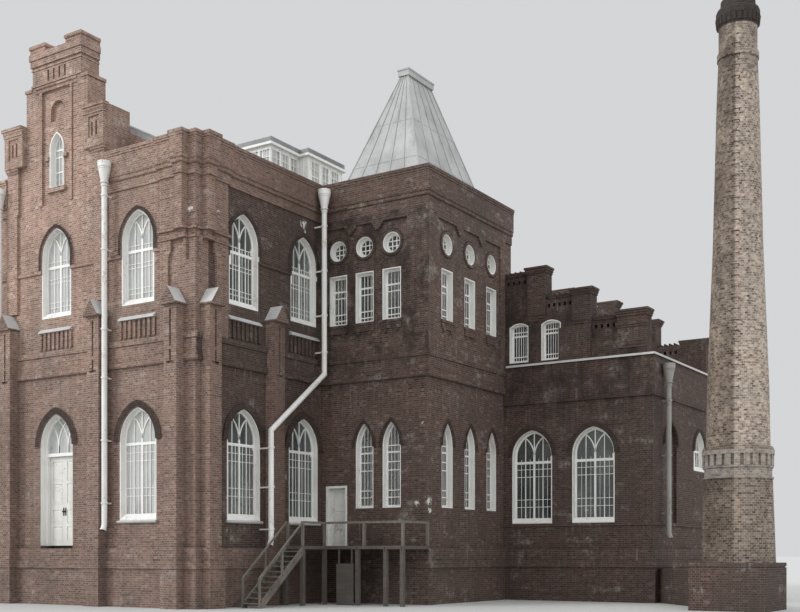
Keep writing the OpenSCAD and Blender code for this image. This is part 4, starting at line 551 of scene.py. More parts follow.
looks = {
    wallBrick: ["main_east_wall", "main_west_wall", "main_north_wall", "wing_plinth", "wing_east_wall",
                "wing_north_gable", "wing_gable_piers", "flue_duct", "chimney_plinth"],
    towerBrick: ["tower_plinth", "tower_east_wall", "tower_north_wall", "tower_parapet"],
    towerSouthBrick: ["tower_south_wall_west", "tower_south_wall_east", "tower_south_wall_over_door"],
    wingSouthBrick: ["wing_south_gable"],
    frontBrick: ["main_plinth", "main_south_wall_west", "main_south_wall_east", "main_south_wall_over_door",
                 "front_gable", "main_parapet", "corner_turrets", "buttresses"],
    chimneyBrick: ["chimney_shaft"],
    baseBrick: ["chimney_base"],
    crownBrick: ["chimney_crown"],
    whitePaint: ["main_window_frames", "tower_window_frames", "wing_window_frames", "front_door_frame",
                 "tower_door_frame"],
    doorPaint: ["front_door_left_leaf", "front_door_right_leaf", "tower_door"],
    lanternSheet: ["roof_lantern"],
    hoodSheet: ["tower_hood"],
    roofSheet: ["main_roof", "wing_roof"],
    capSheet: ["buttress_caps"],
    sillSheet: ["window_sills"],
    pipePaint: ["downpipes"],
    deckTimber: ["stair_landing"],
    postTimber: ["stair_flight", "stair_rails"],
    floorTimber: ["main_floors", "tower_floors", "wing_floor"],
    mainGlass: ["main_window_glass"],
    oldGlass: ["tower_window_glass", "wing_window_glass"],
}
for material, names in looks.items():
    for name in names:
        for materialSlot in nodes[name].material_slots:
            materialSlot.material = material
print("materials made")


# Mesh building

class Shape:
    def __init__(self):
        self.points = []
        self.faces = []

    def add(self, points, faces):
        base = len(self.points)
        self.points += points
        self.faces += [tuple(base + i for i in face) for face in faces]


# A box between two rings of four corners
boxFaces = [(0, 1, 2, 3), (7, 6, 5, 4), (0, 4, 5, 1), (1, 5, 6, 2), (2, 6, 7, 3), (3, 7, 4, 0)]


# Each front turns (along, out, up) into a place
def southFront(y):
    return lambda a, d, z: (a, y - d, z)


def eastFront(x):
    return lambda a, d, z: (x + d, a, z)


def northFront(y):
    return lambda a, d, z: (a, y + d, z)


def westFront(x):
    return lambda a, d, z: (x - d, a, z)


# An outline in the front's plane, between two distances out from it
def prism(shape, front, outline, d0, d1):
    count = len(outline)
    points = [front(a, d0, z) for a, z in outline] + [front(a, d1, z) for a, z in outline]
    faces = [tuple(range(count)), tuple(range(2 * count - 1, count - 1, -1))]
    faces += [(i, (i + 1) % count, count + (i + 1) % count, count + i) for i in range(count)]
    shape.add(points, faces)


def slab(shape, front, a0, z0, a1, z1, d0, d1):
    prism(shape, front, [(a0, z0), (a1, z0), (a1, z1), (a0, z1)], d0, d1)


# A flat bar that follows a line in the front's plane, mitred at each bend
def bar(shape, front, line, width, d0, d1):
    count = len(line)
    left, right = [], []
    for i in range(count):
        runs = []
        for j in (i - 1, i):
            if 0 <= j < count - 1:
                run = Vector(line[j + 1]) - Vector(line[j])
                runs.append(run.normalized())
        middle = (runs[0] + runs[-1]).normalized()
        reach = width / 2 / max(middle.dot(runs[0]), 0.3)
        side = Vector((-middle.y, middle.x)) * reach
        left.append(Vector(line[i]) + side)
        right.append(Vector(line[i]) - side)
    rings = [(left, d0), (right, d0), (right, d1), (left, d1)]
    points = [front(p.x, d, p.y) for edge, d in rings for p in edge]
    faces = []
    for k in range(4):
        for i in range(count - 1):
            other = (k + 1) % 4 * count
            faces.append((k * count + i, k * count + i + 1, other + i + 1, other + i))
    faces += [(0, count, 2 * count, 3 * count), (count - 1, 4 * count - 1, 3 * count - 1, 2 * count - 1)]
    shape.add(points, faces)


# A square rod between two places; its wide side faces away from out
def rod(shape, start, end, width, thick, out):
    start, end, out = Vector(start), Vector(end), Vector(out)
    run = (end - start).normalized()
    side = run.cross(out).normalized() * width / 2
    lift = side.cross(run).normalized() * thick
    corners = [side, -side, -side + lift, side + lift]
    points = [tuple(tip + corner) for tip in (start, end) for corner in corners]
    shape.add(points, boxFaces)


# A round body: a profile of (radius, along) turned about a line
def lathe(shape, start, axis, profile, sides=12):
    start, axis = Vector(start), Vector(axis).normalized()
    first = axis.orthogonal().normalized()
    second = axis.cross(first)
    points, faces = [], []
    for radius, along in profile:
        for k in range(sides):
            turn = math.tau * k / sides
            spoke = first * math.cos(turn) + second * math.sin(turn)
            points.append(tuple(start + axis * along + spoke * radius))
    for i in range(len(profile) - 1):
        for k in range(sides):
            after = (k + 1) % sides
            low, high = i * sides, (i + 1) * sides
            faces.append((low + k, low + after, high + after, high + k))
    faces.append(tuple(range(sides)))
    faces.append(tuple((len(profile) - 1) * sides + k for k in range(sides - 1, -1, -1)))
    shape.add(points, faces)


def makePiece(name, shape, material, body="building"):
    mesh = bpy.data.meshes.new(name)
    mesh.from_pydata([siteCorner + Vector(p) for p in shape.points], [], shape.faces)
    work = bmesh.new()
    work.from_mesh(mesh)
    bmesh.ops.recalc_face_normals(work, faces=work.faces)
    work.to_mesh(mesh)
    work.free()
    mesh.materials.append(material)
    piece = bpy.data.objects.new(name, mesh)
    bpy.context.scene.collection.objects.link(piece)
    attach(piece, body)
    return piece


# Openings: centre, width, sill, apex, rise of the arch

def opening(centre, width, sill, apex, rise):
    return {"centre": centre, "width": width, "sill": sill, "apex": apex, "rise": rise}


def archRadius(half, rise):
    return (rise ** 2 + half ** 2) / (2 * half)


def archSide(half, rise, steps=14):
    radius = archRadius(half, rise)
    top = math.acos((radius - half) / radius)
    return [(half - radius + radius * math.cos(top * i / steps), radius * math.sin(top * i / steps))
            for i in range(steps + 1)]


def groundWindow(centre):
    return opening(centre, 1.767, 3.03, 6.95, 1.15)


def upperWindow(centre):
    return opening(centre, 1.565, 10.52, 13.80, 1.05)


def wingWindow(centre):
    return opening(centre, 1.767, 3.07, 6.82, 1.05)


def wingSideWindow(centre):
    return opening(centre, 1.4, 5.3, 6.95, 0.85)


def lancetWindow(centre):
    return opening(centre, 0.80, 3.57, 6.77, 0.90)


frontAxis = -6.85
frontBays = [-2.68, -11.02]
sideBays = [2.46, 5.89]
farBays = [9.32, 12.75, 16.18]
wingBays = [6.029, 8.662]
rearBays = [2.375, 6.029, 8.662]
towerBays = [0.774, 1.99, 3.21]
towerEastBays = [8.50, 10.23, 11.98]
gableLights = [5.383, 6.807]
wallPlaces = {"mainWest": -14.0, "mainNorth": 20.88, "towerSouth": 7.06, "towerEast": 4.75,
              "wingSouth": 13.04, "wingEast": 11.08, "gableSouth": 13.16}
south, east = southFront(0), eastFront(0)
west, north = westFront(wallPlaces["mainWest"]), northFront(wallPlaces["mainNorth"])
towerSouth, towerEast = southFront(wallPlaces["towerSouth"]), eastFront(wallPlaces["towerEast"])
wingSouth, wingEast = southFront(wallPlaces["wingSouth"]), eastFront(wallPlaces["wingEast"])
gableSouth = southFront(wallPlaces["gableSouth"])

# Window bars, just in front of the glass
barValues = {"inset": 0.11, "back": -0.237, "bright": 0.032, "thin": 0.019, "brightOut": -0.202,
             "thinOut": -0.218}


# An arc that rises from a foot and leans over to one side
def sweep(foot, spring, side, radius, turn, steps=10):
    return [(foot + side * radius * (1 - math.cos(turn * i / steps)),
             spring + radius * math.sin(turn * i / steps)) for i in range(steps + 1)]


# Bars of a wide window: the middle post forks into two arcs, and rods run down each half
def wideBars(shape, front, window, levels, slim=0.020):
    v = barValues
    half = window["width"] / 2 - v["inset"]
    rise = window["rise"] - v["inset"]
    spring = window["apex"] - window["rise"]
    bottom = window["sill"] + v["inset"]
    centre = window["centre"]
    radius = archRadius(half, rise)
    turn = math.acos((radius - half / 2) / radius)
    for side in (-1, 1):
        arc = sweep(centre, spring, side, radius, turn)
        bar(shape, front, arc, v["bright"] * 1.3, v["back"], v["brightOut"])
        crossing = spring + radius * math.sin(turn)
        slab(shape, front, centre + side * half / 2 - v["bright"] / 2, bottom,
             centre + side * half / 2 + v["bright"] / 2, crossing, v["back"], v["brightOut"])
        for share in (0.25, 0.75):
            at = centre + side * half * share
            slab(shape, front, at - slim / 2, bottom, at + slim / 2, spring - 0.1, v["back"], v["thinOut"])
        slab(shape, front, centre + side * half - 0.055, spring - 0.24, centre + side * (half - 0.005),
             spring - 0.02, v["back"], v["brightOut"])
    slab(shape, front, centre - v["thin"], spring + 0.1, centre + v["thin"], window["apex"] - v["inset"],
         v["back"], v["brightOut"])
    for z in levels:
        slab(shape, front, centre - half, z - v["thin"] / 2, centre + half, z + v["thin"] / 2, v["back"],
             v["thinOut"] + 0.004)


# Bars of a narrow pointed or flat-headed window: rods up to the head and cross rods
def narrowBars(shape, front, window, shares, levels, stout):
    v = barValues
    half = window["width"] / 2 - v["inset"]
    rise = max(window["rise"] - v["inset"], 0)
    spring = window["apex"] - window["rise"]
    centre = window["centre"]
    for share in shares:
        top = window["apex"] - v["inset"]
        if rise > 0.05:
            radius = archRadius(half, rise)
            top = spring + math.sqrt(radius ** 2 - (abs(share) * half + radius - half) ** 2)
        at = centre + share * half
        slab(shape, front, at - v["thin"] / 2, window["sill"] + v["inset"], at + v["thin"] / 2, top,
             v["back"], v["thinOut"])
    for z in levels:
        deep = v["bright"] if z in stout else v["thin"]
        slab(shape, front, centre - half, z - deep, centre + half, z + deep, v["back"],
             v["thinOut"] + 0.006)


groundLevels = [5.385, 5.10, 4.15, 3.87]
upperLevels = [12.62, 11.99, 11.84, 11.12, 10.94]
wingLevels = [5.26, 4.96, 4.04, 3.74]
lancetLevels = [5.90, 5.65, 5.29, 4.98, 4.23, 3.97]
mainBars = {
    "bars_main_south": (south, [groundWindow(x) for x in frontBays],
                        [upperWindow(x) for x in [frontAxis] + frontBays]),
    "bars_main_east": (east, [groundWindow(y) for y in sideBays], [upperWindow(y) for y in sideBays]),
    "bars_main_west": (west, [groundWindow(y) for y in sideBays + farBays],
                       [upperWindow(y) for y in sideBays + farBays]),
    "bars_main_north": (north, [groundWindow(x) for x in frontBays + [frontAxis]],
                        [upperWindow(x) for x in frontBays + [frontAxis]]),
}
for name, (front, groundRow, upperRow) in mainBars.items():
    shape = Shape()
    for window in groundRow:
        wideBars(shape, front, window, groundLevels)
    for window in upperRow:
        wideBars(shape, front, window, upperLevels)
    if front is south:
        narrowBars(shape, south, opening(frontAxis, 0.75, 15.29, 17.32, 0.60), [-0.33, 0.33],
                   [15.9, 16.45, 16.72], [16.72])
    makePiece(name, shape, whitePaint)

# Whitened vent panes beside the middle rail of two upper windows
shape = Shape()
ventValues = {"width": 0.24, "low": 11.99, "high": 12.35, "left": -0.66, "back": -0.239, "out": -0.226,
              "rim": 0.022, "stub": 0.755}
v = ventValues
for y in sideBays:
    a0 = y + v["left"]
    slab(shape, east, a0, v["low"], a0 + v["width"], v["high"], v["back"], v["out"])
    loop = [(a0, v["low"]), (a0 + v["width"], v["low"]), (a0 + v["width"], v["high"]), (a0, v["high"]),
            (a0, v["low"] + 0.001)]
    bar(shape, east, loop, v["rim"], v["back"], v["out"] + 0.009)
    slab(shape, east, y + v["stub"], v["high"] - 0.06, y + v["stub"] + 0.11, v["high"] + 0.11, -0.01, 0.045)
makePiece("vent_panes", shape, whitePaint)

shape = Shape()
for x in wingBays:
    wideBars(shape, wingSouth, wingWindow(x), wingLevels, 0.011)
for x in rearBays:
    wideBars(shape, north, wingWindow(x), wingLevels, 0.011)
wideBars(shape, wingEast, wingSideWindow(18.5), [5.62])
for x in gableLights:
    narrowBars(shape, gableSouth, opening(x, 0.85, 9.6, 11.2, 0.15), [-0.67, -0.33, 0, 0.33, 0.67],
               [10.86, 10.70, 9.86], [10.70])
makePiece("bars_wing", shape, whitePaint)

# Tower: rods in the lancets and flat windows, crossed rods in the round ones
towerValues = {"rectWidth": 0.82, "rectLow": 10.55, "rectHigh": 12.47, "roundCentre": 13.41,
               "roundHalf": 0.28, "roundShift": 0.095, "rectLevels": [11.90, 11.65, 11.02, 10.78]}
for name, front, bays, lancets in (("bars_tower_south", towerSouth, towerBays, towerBays[1:]),
                                   ("bars_tower_east", towerEast, towerEastBays, towerEastBays)):
    shape = Shape()
    v, b = towerValues, barValues
    for at in lancets:
        narrowBars(shape, front, lancetWindow(at), [-0.5, 0, 0.5], lancetLevels, [5.65])
    for at in bays:
        flat = opening(at, v["rectWidth"], v["rectLow"], v["rectHigh"], 0)
        narrowBars(shape, front, flat, [-0.5, 0, 0.5], v["rectLevels"], [11.90])
        thin, middle = b["bright"] / 2, v["roundCentre"]
        for shift in (-v["roundShift"], v["roundShift"]):
            reach = math.sqrt(v["roundHalf"] ** 2 - shift ** 2)
            slab(shape, front, at + shift - thin, middle - reach, at + shift + thin, middle + reach,
                 b["back"], b["brightOut"])
            slab(shape, front, at - reach, middle + shift - thin, at + reach, middle + shift + thin,
                 b["back"], b["brightOut"] - 0.004)
    makePiece(name, shape, whitePaint)

# Light over the front door: crossing arcs above its transom
fanValues = {"half": 0.78, "foot": 5.57, "spring": 5.83, "rise": 1.06, "out": -0.315, "back": -0.349,
             "width": 0.036}
shape = Shape()
v = fanValues
radius = archRadius(v["half"], v["rise"])
for foot in (-v["half"] / 3, v["half"] / 3):
    for side in (-1, 1):
        reach = (v["half"] - side * foot) / 2
        turn = math.acos((radius - reach) / radius)
        arc = [(frontAxis + foot, v["foot"])] + sweep(frontAxis + foot, v["spring"], side, radius, turn)
        bar(shape, south, arc, v["width"], v["back"], v["out"] - (0.004 if side > 0 else 0))
makePiece("bars_front_fanlight", shape, whitePaint)

# White lining of the front door's reveal
liningValues = {"half": 0.87, "foot": 2.16, "spring": 5.83, "rise": 1.15, "thick": 0.007, "back": -0.345,
                "out": -0.004}
shape = Shape()
v = liningValues
inner = v["half"] - v["thick"] / 2 - 0.001
side = archSide(inner, v["rise"] - v["thick"] / 2 - 0.001)
edge = [(inner, v["foot"] - v["spring"])] + side
line = [(frontAxis - a, v["spring"] + z) for a, z in edge]
line += [(frontAxis + a, v["spring"] + z) for a, z in reversed(edge[:-1])]
bar(shape, south, line, v["thick"], v["back"], v["out"])
makePiece("lining_front_door", shape, whitePaint)

# Bars in the roof lantern's lights, and thin strips that frame its boards
lanternPlan = {"front": 10.9, "step": 12.95, "back": 15.6, "narrow": (-8.3, -5.7), "wide": (-8.8, -5.2),
               "axis": -7.0}
lanternValues = {"half": 0.26, "low": 18.85, "high": 19.78, "thin": 0.013, "back": -0.048,
                 "frontPitch": 0.64, "sidePitch": 0.76}
lanternGrid = {"pitch": 0.213, "low": 18.62, "high": 19.90, "thin": 0.011, "edge": 0.02, "back": -0.004,
               "rows": (18.80, 19.12, 19.45, 19.82)}
shape = Shape()


def lanternBars(front, at):
    v = lanternValues
    slab(shape, front, at - v["thin"], v["low"], at + v["thin"], v["high"], v["back"], -0.02)
    for share in (0.33, 0.67):
        z = v["low"] + (v["high"] - v["low"]) * share
        slab(shape, front, at - v["half"], z - v["thin"], at + v["half"], z + v["thin"], v["back"], -0.024)


def gridOver(front, start, end):
    v = lanternGrid
    count = round((end - start) / v["pitch"])
    for k in range(count + 1):
        at = start + v["edge"] + (end - start - 2 * v["edge"]) * k / count
        slab(shape, front, at - v["thin"], v["low"], at + v["thin"], v["high"], v["back"], 0.014)
    for z in v["rows"]:
        slab(shape, front, start, z - v["thin"], end, z + v["thin"], v["back"], 0.011)


p = lanternPlan
for step in (-1.5, -0.5, 0.5, 1.5):
    lanternBars(southFront(p["front"]), p["axis"] + step * lanternValues["frontPitch"])
for widths, start, end, pitch, gap in ((p["narrow"], p["front"], p["step"], "frontPitch", 0.01),
                                       (p["wide"], p["step"], p["back"], "sidePitch", 0)):
    for front in (eastFront(widths[1]), westFront(widths[0])):
        gridOver(front, start, end - gap)
        for step in (-1, 0, 1):
            lanternBars(front, (start + end) / 2 + step * lanternValues[pitch])
for front, start, end in (
        (southFront(p["front"]), *p["narrow"]),
        (southFront(p["step"]), p["wide"][0], p["narrow"][0] - 0.01),
        (southFront(p["step"]), p["narrow"][1] + 0.01, p["wide"][1]),
        (northFront(p["back"]), *p["wide"])):
    gridOver(front, start, end)
makePiece("bars_lantern", shape, whitePaint)
print("window bars made")

# Arch bricks on edge, a little proud of the raised rings over the openings
archValues = {"length": 0.088, "joint": 0.011, "inside": 0.052, "proud": 0.069}


def archBricks(shape, front, window, ring, foot=None):
    v = archValues
    half, rise = window["width"] / 2, window["rise"]
    spring, centre = window["apex"] - rise, window["centre"]
    fine = 60
    inner = archSide(half, rise, fine)
    outer = archSide(half + ring, rise + ring, fine)
    length = sum(math.dist(outer[i], outer[i + 1]) for i in range(fine))
    count = round(length / v["length"])

    def pick(side, share):
        spot = min(max(share, 0), 1) * fine
        i = min(int(spot), fine - 1)
        return Vector(side[i]).lerp(Vector(side[i + 1]), spot - i)

    gap = v["joint"] / length / 2
    for k in range(count):
        corners = [(inner, k / count + gap), (inner, (k + 1) / count - gap),
                   (outer, (k + 1) / count - gap), (outer, k / count + gap)]
        for side in (-1, 1):
            outline = []
            for edge, share in corners:
                spot = pick(edge, share)
                other = pick(outer if edge is inner else inner, share)
                spot = spot.lerp(other, 0.03)
                outline.append((centre + side * spot.x, spring + spot.y))
            prism(shape, front, outline, v["inside"], v["proud"])
    if foot is not None:
        rows = round((spring - foot) / v["length"])
        for k in range(rows):
            z0 = foot + (spring - foot) * k / rows + v["joint"] / 2
            z1 = foot + (spring - foot) * (k + 1) / rows - v["joint"] / 2
            for side in (-1, 1):
                ends = sorted((centre + side * (half + 0.004), centre + side * (half + ring - 0.004)))
                slab(shape, front, ends[0], z0, ends[1], z1, v["inside"], v["proud"])


for name, (front, groundRow, upperRow) in mainBars.items():
    shape = Shape()
    for window in groundRow:
        archBricks(shape, front, window, 0.25)
    for window in upperRow:
        archBricks(shape, front, window, 0.13, 12.31)
    if front is south:
        archBricks(shape, front, opening(frontAxis, 1.74, 2.15, 6.98, 1.15), 0.25)
    makePiece(name.replace("bars", "arches"), shape, hoodBrick)
shape = Shape()
for x in wingBays:
    archBricks(shape, wingSouth, wingWindow(x), 0.20)
for x in rearBays:
    archBricks(shape, north, wingWindow(x), 0.20)
for y in (18.5, 15.0):
    archBricks(shape, wingEast, wingSideWindow(y), 0.14)
makePiece("arches_wing", shape, hoodBrick)
shape = Shape()
for x in towerBays[1:]:
    archBricks(shape, towerSouth, lancetWindow(x), 0.14)
for y in towerEastBays:
    archBricks(shape, towerEast, lancetWindow(y), 0.14)
roundRing = {"centre": 13.41, "inner": 0.40, "outer": 0.53, "count": 34, "joint": 0.011, "back": -0.012,
             "proud": 0.014}
v = roundRing
for front, bays in ((towerSouth, towerBays), (towerEast, towerEastBays)):
    for at in bays:
        for k in range(v["count"]):
            outline = []
            for radius, share in ((v["inner"], 0), (v["inner"], 1), (v["outer"], 1), (v["outer"], 0)):
                turn = math.tau * (k + share) / v["count"] + (0.5 - share) * v["joint"] / radius
                outline.append((at + radius * math.cos(turn), v["centre"] + radius * math.sin(turn)))
            prism(shape, front, outline, v["back"], v["proud"])
makePiece("arches_tower", shape, hoodBrick)
print("arch bricks made")

# Two thin brick courses round the corner turrets, below and at their corbels
bandValues = {"run": 1.54, "pier": (0.33, 0.65), "lip": 0.05,
              "bands": [(12.455, 12.538, 0.045, 0.215, 0.15), (12.735, 12.828, 0.075, 0.345, 0.185)]}


def cornerBand(shape, front, corner, way, past):
    v = bandValues
    first, last = v["pier"][0] - v["lip"], v["pier"][1] + v["lip"]
    for low, high, atCorner, atPier, atStrip in v["bands"]:
        for start, end, out in ((-atCorner if past else 0, first, atCorner), (first, last, atPier),
                                (last, v["run"] + v["lip"], atStrip)):
            slab(shape, front, corner + way * start, low, corner + way * end, high, -0.02, out)


shape = Shape()
cornerBand(shape, south, 0, -1, True)
cornerBand(shape, east, 0, 1, False)
cornerBand(shape, south, wallPlaces["mainWest"], 1, True)
cornerBand(shape, west, 0, 1, False)
makePiece("bands_corner_turrets", shape, frontBrick)

# Tiles on the steps of the wing's gables
tileValues = {"pitch": 0.225, "low": 0.058, "toe": 0.095, "heel": 0.185, "lean": 0.045, "gap": 0.014,
              "top": 13.10, "drop": 1.07, "steps": [(4.75, 5.69), (6.711, 7.640), (8.660, 9.540)]}
shape = Shape()
v = tileValues
for i, (start, end) in enumerate(v["steps"]):
    top = v["top"] - v["drop"] * i
    count = round((end - start) / v["pitch"])
    for front in (gableSouth, north):
        for k in range(count):
            a0 = start + (end - start) * k / count
            a1 = start + (end - start) * (k + 1) / count - v["gap"]
            prism(shape, front, [(a0, top + v["low"]), (a1, top + v["low"]), (a1, top + v["toe"]),
                                 (a0 + v["lean"], top + v["heel"]), (a0, top + v["heel"])], -0.50, 0.075)
makePiece("gable_tiles", shape, hoodBrick)

# Standing seams of the sheet roofs
seamValues = {"spacing": 0.62, "width": 0.035, "height": 0.045, "last": 20.2}
roofValues = {"ridge": 18.70, "foot": 15.35, "half": 6.5, "reach": 6.48, "first": 1.40, "cap": 0.20,
              "capHeight": 0.05, "capZ": 18.695, "capRuns": [(1.09, 10.85), (15.70, 20.36)]}
lanternRoof = {"z": 20.278, "pitch": 0.46, "edge": 0.02, "width": 0.03, "height": 0.032,
               "sheets": [(-8.38, -5.62, 10.82, 12.87), (-8.88, -5.12, 12.87, 15.68)]}
shape = Shape()
v, r = seamValues, roofValues
axis = lanternPlan["axis"]
slope = (r["ridge"] - r["foot"]) / r["half"]
y = r["first"]
while y < v["last"]:
    # Beside the lantern a seam starts at its side
    start = 0.0
    if 10.80 < y < 15.75:
        start = 1.30 if y < lanternPlan["step"] else 1.80
    for side in (-1, 1):
        ends = [(axis + side * reach, y, r["ridge"] - slope * reach) for reach in (start, r["reach"])]
        rod(shape, *ends, v["width"], v["height"], (side * slope, 0, 1))
    y += v["spacing"]
for y0, y1 in r["capRuns"]:
    rod(shape, (axis, y0, r["capZ"]), (axis, y1, r["capZ"]), r["cap"], r["capHeight"], (0, 0, 1))
r = lanternRoof
for x0, x1, y0, y1 in r["sheets"]:
    count = round((x1 - x0) / r["pitch"])
    for k in range(count + 1):
        x = x0 + r["edge"] + (x1 - x0 - 2 * r["edge"]) * k / count
        rod(shape, (x, y0, r["z"]), (x, y1, r["z"]), r["width"], r["height"], (0, 0, 1))
makePiece("seams_main_roof", shape, roofSheet)

wingRoof = {"first": 14.0, "run": 10.44, "eave": 9.60, "step": 1.07, "going": 1.950}
shape = Shape()
r = wingRoof
rise = r["run"] * r["step"] / r["going"]
y = r["first"]
while y < v["last"]:
    rod(shape, (0.02, y, r["eave"] + rise * 0.998), (r["run"], y, r["eave"]), v["width"], v["height"],
        (rise, 0, r["run"]))
    y += v["spacing"]
makePiece("seams_wing_roof", shape, roofSheet)

# Sheet over the edge of the wing's roof, with a rolled foot
edgeValues = {"low": 9.408, "high": 9.478, "thick": 0.006, "bead": 0.014}
shape = Shape()
v = edgeValues
for front, start, end in ((southFront(12.93), 4.91, 11.196), (eastFront(11.19), 12.924, 20.24)):
    slab(shape, front, start, v["low"], end, v["high"], 0.0, v["thick"])
    slab(shape, front, start, v["low"] - v["bead"], end, v["low"] + v["bead"], -0.004,
         v["thick"] + v["bead"])
makePiece("flashing_edge", shape, sillSheet)

# Seams and laps on the tower's tall hood
hoodValues = {"foot": (0.064, 7.738, 4.090, 13.120), "top": (2.000, 9.560, 2.340, 11.300), "footZ": 15.36,
              "topZ": 20.68, "seams": 5, "laps": (0.30, 0.62), "width": 0.03, "height": 0.028}
shape = Shape()
v = hoodValues


def hoodSpot(side, share, level):
    x0, y0, x1, y1 = [v["foot"][i] + (v["top"][i] - v["foot"][i]) * level for i in range(4)]
    z = v["footZ"] + (v["topZ"] - v["footZ"]) * level
    if side in ("south", "north"):
        return Vector((x0 + (x1 - x0) * share, y0 if side == "south" else y1, z))
    return Vector((x0 if side == "west" else x1, y0 + (y1 - y0) * share, z))


for side, out in (("south", (0, -1, 0.3)), ("north", (0, 1, 0.3)), ("west", (-1, 0, 0.3)),
                  ("east", (1, 0, 0.3))):
    for k in range(v["seams"] + 1):
        share = k / v["seams"]
        rod(shape, hoodSpot(side, share, 0), hoodSpot(side, share, 1), v["width"], v["height"], out)
    for level in v["laps"]:
        rod(shape, hoodSpot(side, 0, level), hoodSpot(side, 1, level), 0.05, 0.012, out)
makePiece("seams_tower_hood", shape, hoodSheet)
print("roof seams made")

# Beads on the heads of the downpipes, and their rolled mouths, each with a dark disc inside: painted shade
# in the pipe
pipeValues = {
    "heads": [(-4.01, -0.30, 14.90), (-9.69, -0.30, 14.90), (0.45, 6.60, 15.00), (11.36, 14.0, 8.45)],
    "beads": [(-0.02, 0.126, 0.150), (0.455, 0.208, 0.229), (0.662, 0.238, 0.2485)],
    "mouths": [((-4.01, -0.36, 2.69), (0, -0.316, -0.949)), ((-9.69, -0.36, 2.69), (0, -0.316, -0.949)),
               ((0.60, 3.18, 2.17), (0, -0.316, -0.949)), ((11.42, 14.0, 2.46), (0.316, 0, -0.949))]}
shape, rims, mouths = Shape(), Shape(), Shape()
for x, y, z in pipeValues["heads"]:
    for level, inner, outer in pipeValues["beads"]:
        lathe(shape, (x, y, z + level), (0, 0, 1),
              [(inner, -0.030), (outer, -0.018), (outer, 0.018), (inner, 0.030)], 24)
for place, down in pipeValues["mouths"]:
    lathe(rims, place, down, [(0.098, -0.045), (0.116, -0.032), (0.116, 0.004), (0.098, 0.012)], 20)
    # A dark disc just inside the mouth: painted shade in the pipe
    lathe(mouths, place, down, [(0.086, 0.010), (0.086, 0.0135)], 20)
makePiece("pipe_beads", shape, pipePaint)
makePiece("pipe_rims", rims, pipePaint)
makePiece("pipe_mouth_shade", mouths, ironwork)

# Step irons up the chimney and short teeth round its crown
ironValues = {"first": 5.75, "last": 18.6, "spacing": 0.36, "width": 0.22, "stand": 0.12, "thick": 0.020,
              "bearing": -79}
chimneyAxis = Vector((15.38, 9.27, 0))
shaftProfile = [(5.33, 1.025), (7.377, 0.981), (11.837, 0.801), (16.703, 0.675), (18.06, 0.625),
                (19.10, 0.615)]


def shaftRadius(z):
    for (z0, r0), (z1, r1) in zip(shaftProfile, shaftProfile[1:]):
        if z <= z1:
            return r0 + (r1 - r0) * (z - z0) / (z1 - z0)
    return shaftProfile[-1][1]


def outAndAside(turn):
    out = Vector((math.cos(turn), math.sin(turn), 0))
    return out, Vector((-out.y, out.x, 0))


shape = Shape()
v = ironValues
out, side = outAndAside(math.radians(v["bearing"]))
z = v["first"]
while z < v["last"]:
    centre = chimneyAxis + Vector((0, 0, z))
    near = centre + out * (shaftRadius(z) - 0.04)
    far = centre + out * (shaftRadius(z) + v["stand"])
    for s in (-1, 1):
        shift = side * s * v["width"] / 2
        rod(shape, near + shift, far + shift, v["thick"], v["thick"], (0, 0, 1))
    shift = side * (v["width"] / 2 + 0.011)
    rod(shape, far - shift, far + shift, v["thick"], v["thick"], (0, 0, 1))
    z += v["spacing"]
makePiece("chimney_irons", shape, ironwork)

toothValues = {"count": 26, "low": 19.17, "high": 19.43, "inner": 0.63, "outer": 0.72, "width": 0.085}
shape = Shape()
v = toothValues
for k in range(v["count"]):
    out, side = outAndAside(math.tau * k / v["count"])
    points = []
    for z, reach in ((v["low"], v["outer"] - 0.03), (v["high"], v["outer"])):
        for radius in (v["inner"], reach):
            for s in (-1, 1):
                shift = side * s * v["width"] / 2
                points.append(tuple(chimneyAxis + out * radius + shift + Vector((0, 0, z))))
    shape.add(points, [(0, 1, 3, 2), (4, 6, 7, 5), (0, 2, 6, 4), (1, 5, 7, 3), (2, 3, 7, 6), (0, 4, 5, 1)])
makePiece("crown_teeth", shape, crownBrick)
print("chimney details made")

# Mouldings and raised fields of the doors' panels, and their plates and knobs
doorValues = {"thick": 0.022, "proud": 0.010, "field": 0.045, "margin": 0.11}
frontPanels = [(0.05, 0.22), (0.25, 0.41), (0.47, 0.70), (0.73, 0.95)]
towerPanels = [(0.06, 0.30), (0.36, 0.62), (0.68, 0.94)]
frontLeaf = {"front": south, "foot": 2.15, "height": 3.3, "panels": frontPanels, "face": 0.39,
             "knobZ": 3.42}
leaves = [
    {**frontLeaf, "name": "left_leaf", "body": "left_leaf", "x0": -7.622, "x1": -6.854, "knob": -6.905},
    {**frontLeaf, "name": "right_leaf", "body": "right_leaf", "x0": -6.846, "x1": -6.078, "knob": -6.795},
    {"name": "tower_door", "body": "tower_door_leaf", "front": towerSouth, "foot": 2.15, "height": 2.21,
     "panels": towerPanels, "face": 0.19, "x0": 0.283, "x1": 1.091, "knob": 1.035, "knobZ": 3.22}]


def inset(x0, z0, x1, z1, by):
    return [(x0 + by, z0 + by), (x1 - by, z0 + by), (x1 - by, z1 - by), (x0 + by, z1 - by)]


